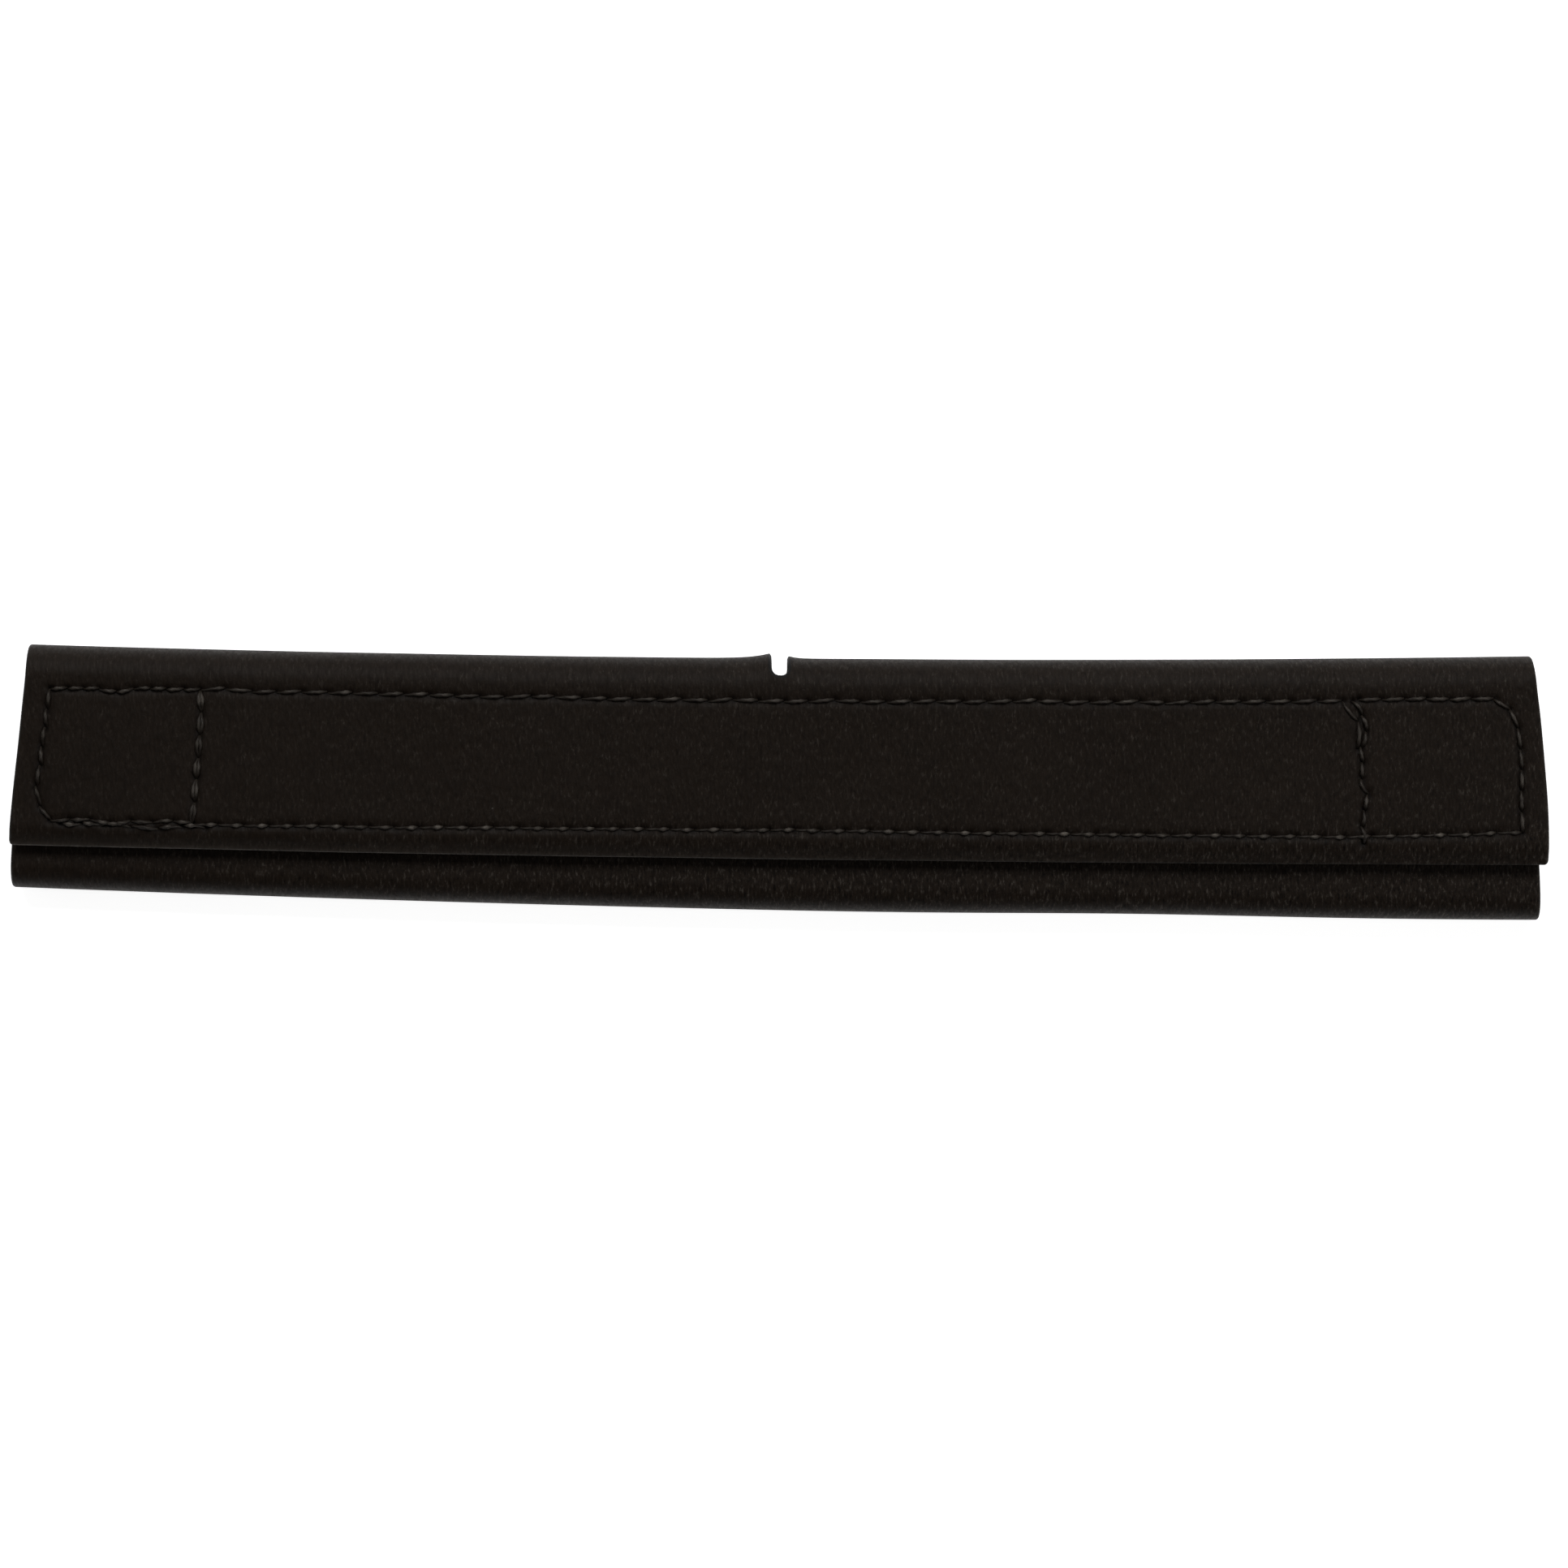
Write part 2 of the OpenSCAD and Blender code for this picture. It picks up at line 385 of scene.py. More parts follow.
    def place(self, x: np.ndarray, s: np.ndarray, height: np.ndarray | float) -> np.ndarray:
        """Folds blank coordinates round the sleeve.

        Args:
            x: Places along the sleeve.
            s: Places across the blank.
            height: Heights out from the middle of the leather.

        Returns:
            One point to a row, in metres.
        """
        x, s = np.asarray(x, float), np.asarray(s, float)
        y, z, heading = self.section.walk(s)
        lift = height + self.ripple(x, s) + self.slot.lift(x, s)
        t = x / self.layout.half_l
        y = y + lift * np.sin(heading) + self.bow(s) * (t * t - 1 / 3) - self.taper(s) * t
        flatter = np.exp(-(((x - self.SAG_LESS_AT) / self.SAG_LESS_W) ** 2))
        y = y - self.belly(s) * (self.SAG - self.SAG_LESS * flatter)
        z = z - lift * np.cos(heading)
        return np.stack([x + self.shift(s), y, z], axis=-1) * MM


# --- Meshes ---


def spaced(*spans: tuple[float, float, float]) -> list[float]:
    """Places at even steps along a chain of spans.

    Args:
        spans: Start, end and greatest step of each span. Each starts where the last one ended.

    Returns:
        The places, from the first start to the last end.
    """
    places = [spans[0][0]]
    for start, end, step in spans:
        count = max(1, math.ceil(abs(end - start) / step - 1e-9))
        places += [start + (end - start) * (i + 1) / count for i in range(count)]
    return places


def mirrored(right: list[float]) -> list[float]:
    """Places on both sides of 0, from those at 0 and to its right."""
    return [-place for place in reversed(right[1:])] + right


def finish_piece(
    bm: bmesh.types.BMesh, name: str, materials: Sequence[bpy.types.Material]
) -> bpy.types.Object:
    """Makes a scene object of a finished mesh, and logs it.

    Args:
        bm: The mesh, in metres. It is freed.
        name: The piece's name.
        materials: Its materials, in the order of the faces' numbers.

    Returns:
        The piece, at the origin.
    """
    mesh = bpy.data.meshes.new(name)
    bm.to_mesh(mesh)
    bm.free()
    for material in materials:
        mesh.materials.append(material)
    piece = bpy.data.objects.new(name, mesh)
    bpy.context.collection.objects.link(piece)
    log.info("%s: %d vertices, %d faces", name, len(mesh.vertices), len(mesh.polygons))
    return piece


@dataclass(frozen=True)
class CutEdge:
    """How a cut edge of the leather is rounded over, in millimetres."""

    grain_r: float = 0.42
    flesh_r: float = 0.15
    burnish_w: float = 0.26
    # width of the near-black band painted round the slot: painted shade on its rounded edges
    slot_shade_w: float = 0.38
    # the next two set the pale band painted along the cut edges and at the ends: partly wear, partly
    # painted highlight where the rounded edge catches the light
    wear_and_highlight_w: float = 0.4
    end_wear_and_highlight: float = 0.12
    insets: tuple[float, ...] = (0.0, 0.06, 0.15, 0.28, 0.42)

    @staticmethod
    def drop(away: np.ndarray, radius: float) -> np.ndarray:
        """How far a face has fallen at a distance from the edge."""
        near = np.clip(1 - away / radius, 0, 1)
        return radius * (1 - np.sqrt(1 - near * near))


@dataclass
class Slab:
    """A sheet of even thickness on the blank, with its cut edges rounded over.

    Args:
        columns: Places along the sleeve, in order.
        rows: Places across the blank, in order.
        faces: Heights of the lower and the upper face.
        free_rows: Which of the first and the last row are cut edges.
        edge: How the cut edges are rounded.
        corner: Radius of the corners at a cut edge.
        inset: How far the ends stay inside the leather's own.
        slotted: Whether the relief slot is cut in it.
    """

    LEVELS: ClassVar[tuple[float, ...]] = (1 / 3, 2 / 3)  # where its edges are cut, of its thickness
    END_EASE: ClassVar[int] = 4  # power by which columns close up towards the shaped ends

    blank: Blank
    columns: list[float]
    rows: list[float]
    faces: tuple[float, float]
    free_rows: tuple[bool, bool]
    edge: CutEdge = CutEdge()
    corner: float = 0.7
    inset: float = 0.0
    slotted: bool = False
    flat_area: float = field(default=0.0, init=False)

    def outer_rows(self, free: bool) -> list[float]:
        """Those of the first and the last row that are cut edges, or those that aren't."""
        outer = zip((self.rows[0], self.rows[-1]), self.free_rows)
        return [row for row, is_free in outer if is_free is free]

    def ends(self, s: np.ndarray) -> np.ndarray:
        """Half length of the slab, with its corners rounded.

        Args:
            s: Places across the blank.

        Returns:
            The half length at each.
        """
        half = self.blank.half_length(s) - self.inset
        for row in self.outer_rows(free=True):
            half = half - self.edge.drop(np.abs(s - row), self.corner)
        return half

    def from_edge(self, x: np.ndarray, s: np.ndarray) -> np.ndarray:
        """Distance to the nearest cut edge.

        Args:
            x: Places along the sleeve.
            s: Places across the blank.

        Returns:
            The distance from each place.
        """
        away = self.ends(s) - np.abs(x)
        for row in self.outer_rows(free=True):
            away = np.minimum(away, np.abs(s - row))
        if self.slotted:
            away = np.minimum(away, self.blank.slot.offset(x, s))
        return np.maximum(away, 0)

    def flat(self) -> bmesh.types.BMesh:
        """The slab laid out flat, one unit thick, with the slot cut.

        Returns:
            The mesh, in blank coordinates, with each face's kind as its material number.
        """
        nx, ns = len(self.columns) - 1, len(self.rows) - 1
        bm = bmesh.new()
        bmesh.ops.create_grid(bm, x_segments=nx, y_segments=ns, size=0.5)
        span = self.columns[-1]
        for vert in bm.verts:
            column = self.columns[round((vert.co.x + 0.5) * nx)]
            row = self.rows[round((vert.co.y + 0.5) * ns)]
            vert.co = (column, row, 0)
        if self.slotted:
            self.cut_slot(bm)
        bmesh.ops.solidify(bm, geom=bm.verts[:] + bm.edges[:] + bm.faces[:], thickness=1.0)
        low = min(vert.co.z for vert in bm.verts)
        bmesh.ops.translate(bm, verts=bm.verts, vec=(0, 0, -low))
        for level in self.LEVELS:
            bmesh.ops.bisect_plane(
                bm,
                geom=bm.verts[:] + bm.edges[:] + bm.faces[:],
                plane_co=(0, 0, level),
                plane_no=(0, 0, 1),
            )
        bmesh.ops.recalc_face_normals(bm, faces=bm.faces)
        places = np.array([vert.co for vert in bm.verts])
        reach = (np.abs(places[:, 0]) / span) ** self.END_EASE
        ends = self.ends(places[:, 1])
        places[:, 0] += np.sign(places[:, 0]) * (ends - span) * reach
        for vert, place in zip(bm.verts, places):
            vert.co = place
        return bm

    def cut_slot(self, bm: bmesh.types.BMesh) -> None:
        """Takes the slot out of a flat sheet and draws its edge onto the slot's outline."""
        slot = self.blank.slot
        inside = []
        for face in bm.faces:
            middle = face.calc_center_median()
            if slot.offset(np.array(middle.x), np.array(middle.y)) < 0:
                inside.append(face)
        rim = {vert for face in inside for vert in face.verts}
        bmesh.ops.delete(bm, geom=inside, context="FACES")
        for vert in (vert for vert in rim if vert.is_valid):
            vert.co.x, vert.co.y = slot.onto_outline(vert.co.x, vert.co.y)

    def build(self, presses: "Sequence[Press]" = ()) -> bmesh.types.BMesh:
        """The slab folded round the sleeve.

        Args:
            presses: The threads that press into its faces.

        Returns:
            The mesh, in metres. Material 0 is the upper face, 1 the lower one, 2 the cut edges.
        """
        bm = self.flat()
        uv = bm.loops.layers.uv.new("blank")
        # layers for the shader: a pale band along the cut edges, partly wear and partly painted
        # highlight; the stitch presses, painted as shade; how open the grain is, with more painted
        # glint to the right
        wear_and_highlight = bm.verts.layers.float.new("wear_and_highlight")
        pressed = bm.verts.layers.float.new("pressed")
        loose = bm.verts.layers.float.new("loose")
        joins = self.outer_rows(free=False)
        for face in bm.faces:
            heights = [vert.co.z for vert in face.verts]
            face.smooth = True
            if max(heights) - min(heights) > 0.1:
                face.material_index = 2
            else:
                face.material_index = 0 if heights[0] > 0.5 else 1
            for loop in face.loops:
                loop[uv].uv = (loop.vert.co.x / UV_SPAN, loop.vert.co.y / UV_SPAN)
        for edge in bm.edges:
            kinds = {face.material_index for face in edge.link_faces}
            at_join = any(all(abs(v.co.y - row) < 1e-4 for v in edge.verts) for row in joins)
            edge.smooth = not (at_join and 2 in kinds and len(kinds) > 1)
        self.flat_area = sum(face.calc_area() for face in bm.faces if face.material_index == 0)
        x, s, level = np.array([vert.co for vert in bm.verts]).T
        away = self.from_edge(x, s)
        low = self.faces[0] + self.edge.drop(away, self.edge.flesh_r)
        high = self.faces[1] - self.edge.drop(away, self.edge.grain_r)
        depth = np.zeros_like(x)
        for face in Face:
            dents = [press.depth(x, s) for press in presses if press.face is face]
            if dents:
                deepest = np.maximum.reduce(dents)
                depth = np.maximum(depth, deepest)
                high, low = (high - deepest, low) if face is Face.GRAIN else (high, low + deepest)
        bare = away - self.edge.burnish_w * self.blank.edge_paleness(x)
        # a near-black band round the slot, painted as shade on its rounded edges
        if self.slotted:
            bare = np.minimum(bare, self.blank.slot.offset(x, s) - self.edge.slot_shade_w)
        for face in bm.faces:
            near = min(bare[vert.index] for vert in face.verts)
            if face.material_index == 0 and near < 0:
                face.material_index = 2
        points = self.blank.place(x, s, low + (high - low) * level)
        cuts = [np.abs(s - row) for row in self.outer_rows(free=True)]
        from_cut = np.minimum.reduce(cuts or [np.full_like(s, np.inf)])
        from_end = np.maximum(self.ends(s) - np.abs(x), 0)
        # pale band along the cut edges, strongest at the left: partly wear, partly painted highlight on
        # the rounded edge
        worn_and_lit = np.exp(-from_cut / self.edge.wear_and_highlight_w) * self.blank.edge_paleness(x)
        worn_and_lit = np.maximum(worn_and_lit, self.edge.end_wear_and_highlight * np.exp(-from_end / self.edge.wear_and_highlight_w))
        open_grain_and_glint = self.blank.open_grain_and_glint(x, s)
        for vert, point, *amounts in zip(bm.verts, points, worn_and_lit, depth / self.edge.grain_r, open_grain_and_glint):
            vert.co = point
            vert[wear_and_highlight], vert[pressed], vert[loose] = amounts
        return bm


def from_holes(holes: np.ndarray, x: np.ndarray, s: np.ndarray) -> tuple[np.ndarray, np.ndarray]:
    """Distances to a run of needle holes.

    Args:
        holes: The x and s of each hole, in order.
        x: Places along the sleeve.
        s: Places across the blank.

    Returns:
        The distance to the run, and the distance to its nearest hole.
    """
    to_run = np.full(x.shape, np.inf)
    for start, end in zip(holes, holes[1:]):
        run = end - start
        dx, ds = x - start[0], s - start[1]
        part = np.clip((dx * run[0] + ds * run[1]) / (run @ run), 0, 1)
        to_run = np.minimum(to_run, np.hypot(dx - part * run[0], ds - part * run[1]))
    to_hole = np.full(x.shape, np.inf)
    for hole in holes:
        to_hole = np.minimum(to_hole, np.hypot(x - hole[0], s - hole[1]))
    return to_run, to_hole


@dataclass(frozen=True)
class Press:
    """Where a run of stitches presses into a face, in blank coordinates."""

    holes: np.ndarray
    face: Face
    hole_depth: float = 0.42
    hole_r: float = 0.42
    groove_depth: float = 0.13
    groove_r: float = 0.62

    def depth(self, x: np.ndarray, s: np.ndarray) -> np.ndarray:
        """How deep the face is pressed.

        Args:
            x: Places along the sleeve.
            s: Places across the blank.

        Returns:
            The depth at each place.
        """
        to_run, to_hole = from_holes(self.holes, x, s)
        groove = self.groove_depth * np.exp(-((to_run / self.groove_r) ** 2))
        return groove + self.hole_depth * np.exp(-((to_hole / self.hole_r) ** 2))


class Strands:
    """Many short tubes, each swept along a centre line of its own."""

    def __init__(self, sides: int, rings: int) -> None:
        """Makes the tube that is repeated.

        Args:
            sides: Faces round the tube.
            rings: Points along its centre line.
        """
        self.sides, self.rings = sides, rings
        bm = bmesh.new()
        bmesh.ops.create_cone(
            bm, cap_ends=True, segments=sides, radius1=1, radius2=1, depth=rings - 1
        )
        for cut in range(1, rings - 1):
            bmesh.ops.bisect_plane(
                bm,
                geom=bm.verts[:] + bm.edges[:] + bm.faces[:],
                plane_co=(0, 0, cut - (rings - 1) / 2),
                plane_no=(0, 0, 1),
            )
        for face in bm.faces:
            face.smooth = True
        places = np.array([vert.co for vert in bm.verts])
        self.ring = np.round(places[:, 2] + (rings - 1) / 2).astype(int)
        turn = np.arctan2(places[:, 1], places[:, 0]) / (2 * math.pi) * sides
        self.side = np.round(turn - turn[0]).astype(int) % sides
        self.tube = bpy.data.meshes.new("strand")
        bm.to_mesh(self.tube)
        bm.free()

    def sweep(
        self, lines: np.ndarray, up: np.ndarray, radii: np.ndarray, worn_and_lit: np.ndarray | float = 0.0
    ) -> bmesh.types.BMesh:
        """Repeats the tube along centre lines.

        Args:
            lines: Points of each centre line, as lines by rings by 3, in metres.
            up: A direction that each line never runs along, to turn its section by.
            radii: Radius at each ring and side, in metres, for all the lines or for each.
            worn_and_lit: How pale each ring of each line is painted, from 0 to 1: painted highlight,
                with rubbing.

        Returns:
            The mesh of all the tubes.
        """
        along = np.gradient(lines, axis=1)
        along /= np.linalg.norm(along, axis=2, keepdims=True)
        across = np.cross(up[:, None, :], along)
        across /= np.linalg.norm(across, axis=2, keepdims=True)
        out = np.cross(along, across)
        angles = np.arange(self.sides) * 2 * math.pi / self.sides
        ring, side = self.ring, self.side
        count, rings = lines.shape[:2]
        reach = np.broadcast_to(radii, (count, rings, self.sides))[:, ring, side]
        points = (
            lines[:, ring]
            + across[:, ring] * (reach * np.cos(angles[side]))[..., None]
            + out[:, ring] * (reach * np.sin(angles[side]))[..., None]
        ).reshape(-1, 3)
        amounts = np.broadcast_to(worn_and_lit, (count, rings))[:, ring].ravel()
        bm = bmesh.new()
        for _ in lines:
            bm.from_mesh(self.tube)
        # stores the painted highlight and rubbing for the shader
        wear_and_highlight = bm.verts.layers.float.new("wear_and_highlight")
        for vert, point, amount in zip(bm.verts, points, amounts):
            vert.co = point
            vert[wear_and_highlight] = amount
        bmesh.ops.recalc_face_normals(bm, faces=bm.faces)
        return bm


# --- Stitches ---


@dataclass(frozen=True)
class Run:
    """One run of machine stitches through points on the blank.

    Args:
        points: Corners of the run, as x and s.
        pitch: Stitch length aimed at.
        slant: How far each stitch leans across the run.
        scatter: How far the holes wander.
        slack: How far a loose stitch bulges to either side.
        seed: Seed of the wandering.
        bulge: How far every stitch bulges to the left of the run.
        peak: Where along each stitch it stands highest, from 0 to 1.
        proud: How far from its peak a stitch still stands proud, in stitch lengths.
        rubbed_and_highlight: How pale its peaks are painted, from 0 to 1: painted highlight where a
            stitch stands proud, with rubbing.
    """

    points: tuple[tuple[float, float], ...]
    pitch: float = 3.3
    slant: float = 0.1
    scatter: float = 0.05
    slack: float = 0.0
    seed: int = 1
    bulge: float = 0.0
    peak: float = 0.5
    proud: float = 0.36
    # how strongly the proud crests are painted pale: painted highlight, with rubbing
    rubbed_and_highlight: float = 0.4

    def holes(self) -> np.ndarray:
        """Needle holes along the run.

        Returns:
            The x and s of each hole.
        """
        points = np.array(self.points, float)
        lengths = np.hypot(*np.diff(points, axis=0).T)
        places = np.concatenate([[0.0], np.cumsum(lengths)])
        count = max(1, round(places[-1] / self.pitch))
        steps = np.linspace(0, places[-1], count + 1)
        holes = np.stack([np.interp(steps, places, points[:, i]) for i in (0, 1)], axis=-1)
        wander = np.random.default_rng(self.seed).normal(0, self.scatter, holes.shape)
        wander[[0, -1]] = 0
        return holes + wander


@dataclass(frozen=True)
class Thread:
    """Two-ply bonded thread, in millimetres."""

    radius: float = 0.2
    ply_depth: float = 0.2
    twist: float = 1.3
    swell: float = 0.4
    sink: float = 0.75
    tuck: float = 0.13
    crown: float = 0.17
    slim: float = 0.85
    lowest: float = 0.72
    rings: int = 13
    sides: int = 8

    def rise(self, run: Run, count: int) -> np.ndarray:
        """How proud each stitch of a run stands along its length.

        Args:
            run: The run.
            count: How many stitches it has.

        Returns:
            A value from 0 to 1 at each ring of each stitch.
        """
        rng = np.random.default_rng(run.seed + 200)
        t = np.linspace(0, 1, self.rings)[None, :]
        peaks = run.peak + rng.normal(0, 0.4 * run.scatter + 0.02, (count, 1))
        return rng.uniform(self.lowest, 1.0, (count, 1)) * np.exp(-np.abs((t - peaks) / run.proud) ** 3)

    def radii(self, rise: np.ndarray) -> np.ndarray:
        """Radius at each ring and side of each stitch, with its two plies laid up.

        Args:
            rise: How proud each ring stands.

        Returns:
            The radii, in metres.
        """
        t = np.linspace(0, 1, self.rings)[:, None]
        angle = np.arange(self.sides)[None, :] * 2 * math.pi / self.sides
        plies = 1 + self.ply_depth * np.cos(2 * (angle - 2 * math.pi * self.twist * t))
        return self.radius * plies * (self.slim + self.swell * rise[..., None]) * MM

    def lines(
        self, blank: Blank, run: Run, rise: np.ndarray, face: Face, surface: float
    ) -> tuple[np.ndarray, np.ndarray]:
        """Centre lines of a run's stitches.

        Args:
            blank: The folded blank.
            run: The run that they belong to.
            rise: How proud each ring of each stitch stands.
            face: The face that they lie on.
            surface: Height of that face, without its sign.

        Returns:
            The points of each stitch's centre line, and the direction out of the work.
        """
        holes = run.holes()
        t = np.linspace(0, 1, self.rings)
        start, end = holes[:-1, None, :], holes[1:, None, :]
        run_dir = (end - start) / np.linalg.norm(end - start, axis=2, keepdims=True)
        beside = np.stack([-run_dir[..., 1], run_dir[..., 0]], axis=-1)
        rng = np.random.default_rng(run.seed + 100)
        bulge = run.bulge + run.slack * rng.uniform(-1, 1, (len(start), 1))
        sideways = run.slant * (0.5 - t)[None, :] * 2 + bulge * np.sin(math.pi * t)[None, :]
        spots = start + (end - start) * t[None, :, None] + beside * sideways[..., None]
        ends = np.abs(2 * t - 1)[None, :] ** 5
        lift = (self.tuck + self.crown) * rise - self.tuck - (self.sink - self.tuck) * ends
        height = face.value * (surface + lift)
        points = blank.place(spots[..., 0], spots[..., 1], height)
        middle = (holes[:-1] + holes[1:]) / 2
        outer = blank.place(middle[:, 0], middle[:, 1], face.value * (surface + 1))
        inner = blank.place(middle[:, 0], middle[:, 1], face.value * surface)
        return points, (outer - inner) / MM


@dataclass(frozen=True)
class Seam:
    """The stitches of one CAD node, in one or more runs."""

    node: str
    body: Body
    face: Face
    surface: float
    runs: tuple[Run, ...]

    def presses(self) -> list[Press]:
        """Where its runs press into the leather."""
        return [Press(run.holes(), self.face) for run in self.runs]

    def build(self, blank: Blank, thread: Thread, material: bpy.types.Material) -> None:
        """Makes the stitches and puts them in place of the node.

        Args:
            blank: The folded blank.
            thread: The thread that they are sewn with.
            material: Its finish.
        """
        rises = [thread.rise(run, len(run.holes()) - 1) for run in self.runs]
        parts = [
            thread.lines(blank, run, rise, self.face, self.surface)
            for run, rise in zip(self.runs, rises)
        ]
        lines = np.concatenate([part[0] for part in parts])
        up = np.concatenate([part[1] for part in parts])
        rise = np.concatenate(rises)
        # painted highlight: the proud crest of each stitch is marked to be painted pale, with rubbing
        worn_and_lit = np.concatenate([run.rubbed_and_highlight * rise**3 for run, rise in zip(self.runs, rises)])
        bm = Strands(thread.sides, thread.rings).sweep(lines, up, thread.radii(rise), worn_and_lit)
        piece = finish_piece(bm, f"{self.node}_thread", [material])
        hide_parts(self.node)
        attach(piece, self.body.value)


class Stitching:
    """Every seam of the sleeve."""

    def __init__(self, blank: Blank) -> None:
        """Lays out the seams.

        Args:
            blank: The folded blank.
        """
        self.blank = blank
        layout, half_t = blank.layout, blank.half_t
        self.seams = [
            *self.flap_seams(half_t, half_t + layout.hook_tape_t),
            *self.lip_seams(half_t + layout.loop_tape_t, half_t),
        ]

    def flap_seams(self, grain: float, inside: float) -> list[Seam]:
        """The rows that hold the hook tape, on the flap's grain and on the tape behind it.

        Args:
            grain: Height of the grain face.
            inside: Height of the tape's face, without its sign.

        Returns:
            The seams.
        """

        def path(*points: tuple[float, float]) -> tuple[tuple[float, float], ...]:
            """Points of the flap, given as x and y, on the blank."""
            return tuple((x, self.blank.flap_s(y)) for x, y in points)

        upper = Run(
            path((-75.5, 10.9), (-20, 10.7), (0, 10.7), (72.8, 10.7)), 3.3, 0.14, 0.08,
            seed=2, peak=0.58, proud=0.28, rubbed_and_highlight=0.55,
        )
        upper_left = Run(
            path((-94.9, 10.5), (-75.5, 10.9)), 2.2, 0.1, 0.1, 0.12, seed=3, proud=0.3
        )
        upper_right = Run(path((75.0, 10.9), (86.0, 10.9), (92.5, 10.8)), 2.9, seed=5)
        lower = Run(
            path((-76.2, -6.8), (0, -6.2), (76.0, -6.55), (96.4, -6.0)), 3.25, 0.05, 0.04,
            seed=6, peak=0.72, proud=0.17, rubbed_and_highlight=0.9,
        )
        lower_left = Run(
            path((-94.8, -6.7), (-76.2, -6.6)), 2.7, 0.05, 0.2, 0.2,
            seed=7, peak=0.6, proud=0.22, rubbed_and_highlight=0.6,
        )
        lower_left_again = Run(
            path((-93.4, -7.0), (-74.6, -7.15)), 3.1, -0.1, 0.24, 0.25,
            seed=8, peak=0.45, proud=0.2, rubbed_and_highlight=0.6,
        )
        left_end = Run(
            path(
                (-94.9, 10.5), (-95.4, 6.4), (-96.1, 3.8), (-96.1, 0.7),
                (-96.5, -2.1), (-96.5, -3.9), (-95.4, -6.0), (-94.8, -6.7),
            ),
            2.4, 0.15, 0.1, 0.1, seed=9, proud=0.3, rubbed_and_highlight=0.3,
        )
        right_end = Run(
            path(
                (92.5, 10.8), (94.0, 10.35), (95.4, 8.4), (95.8, 6.3), (96.0, 3.7),
                (96.2, 0.8), (96.2, -2.2), (96.3, -4.2), (96.4, -6.0),
            ),
            2.5, 0.05, 0.04, 0.04, seed=10,
        )
        cross_path = path((-75.5, 10.8), (-75.5, 5), (-76.5, -6.8))
        left_cross = Run(cross_path, 3.1, 0.0, 0.1, 0.08, seed=11, bulge=0.24, proud=0.3)
        left_cross_again = Run(cross_path, 3.1, 0.0, 0.1, 0.08, seed=11, bulge=-0.22, proud=0.3)
        right_cross = Run(
            path(
                (74.2, 10.7), (75.7, 8.2), (75.9, 6.1), (74.9, 4.4), (75.5, 3),
                (75.3, 0.9), (76.3, -1.2), (75.7, -3.3), (75.5, -5.2), (75.8, -7.4),
            ),
            2.2, 0.1, 0.05, 0.3, seed=13,
        )
        loose_end = Run(path((72.8, 10.7), (75.0, 7.9), (74.8, 4.6)), 3.2, 0, 0.05, 0.3, seed=14)
        fronts = {
            "flap_upper_stitches": (upper, upper_left, upper_right),
            "flap_lower_stitches": (lower, lower_left, lower_left_again),
            "flap_left_end_stitches": (left_end,),
            "flap_right_end_stitches": (right_end,),
            "flap_left_cross_stitches": (left_cross, left_cross_again),
            "flap_right_cross_stitches": (right_cross, loose_end),
        }
        seams = [
            Seam(node, Body.FLAP, Face.GRAIN, grain, runs) for node, runs in fronts.items()
        ]
        backs = {
            "flap_long_bobbin_stitches": (upper, upper_left, upper_right, lower, lower_left),
            "flap_short_bobbin_stitches": (left_end, right_end, left_cross, right_cross),
        }
        return seams + [
            Seam(node, Body.FLAP, Face.FLESH, inside, runs) for node, runs in backs.items()
        ]

    def lip_seams(self, outside: float, flesh: float) -> list[Seam]:
        """The rows that hold the loop tape, on the tape and on the flesh face behind it.

        Args:
            outside: Height of the tape's face.
            flesh: Height of the flesh face, without its sign.

        Returns:
            The seams.
        """
        seams = {}
        for key in ("upper", "lower", "left_end", "right_end"):
            low, high = (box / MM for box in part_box(f"lip_{key}_stitches"))
            middle = (low + high) / 2
            s = self.blank.lip_s
            if key.endswith("end"):
                run = Run(((middle.x, s(high.y + 0.5)), (middle.x, s(low.y - 0.5))), 2.9, seed=21)
            else:
                run = Run(((low.x, s(middle.y)), (high.x, s(middle.y))), 3.3, seed=22)
            seams[f"lip_{key}_stitches"] = run
        return [
            *(
                Seam(node, Body.LIP, Face.GRAIN, outside, (run,)) for node, run in seams.items()
            ),
            Seam("lip_bobbin_stitches", Body.LIP, Face.FLESH, flesh, tuple(seams.values())),
        ]

    def presses(self, body: Body, face: Face) -> list[Press]:
        """Every press into one face of a body's work."""
        chosen = [seam for seam in self.seams if seam.body is body and seam.face is face]
        return [press for seam in chosen for press in seam.presses()]

    def build(self, material: bpy.types.Material) -> None:
        """Makes every seam, sewn in one thread."""
        for seam in self.seams:
            seam.build(self.blank, Thread(), material)

    def clear(self, body: Body, x: np.ndarray, s: np.ndarray, gap: float) -> np.ndarray:
        """Which places are further than a gap from every seam of a body's work."""
        clear = np.full(x.shape, True)
        for seam in self.seams:
            if seam.body is body:
                for run in seam.runs:
                    clear &= from_holes(run.holes(), x, s)[0] > gap
        return clear


# --- Shaders ---


def _operator(operation: str, swapped: bool = False) -> "Callable[[Value, Value | float], Value]":
    """An operator of Value.

    Args:
        operation: The Math node's operation.
        swapped: Whether the other value comes first.

    Returns:
        The method.
    """

    def method(self: "Value", other: "Value | float") -> "Value":
        """Adds the node."""
        first, second = (other, self) if swapped else (self, other)
        return self._math(operation, first, second)

    return method


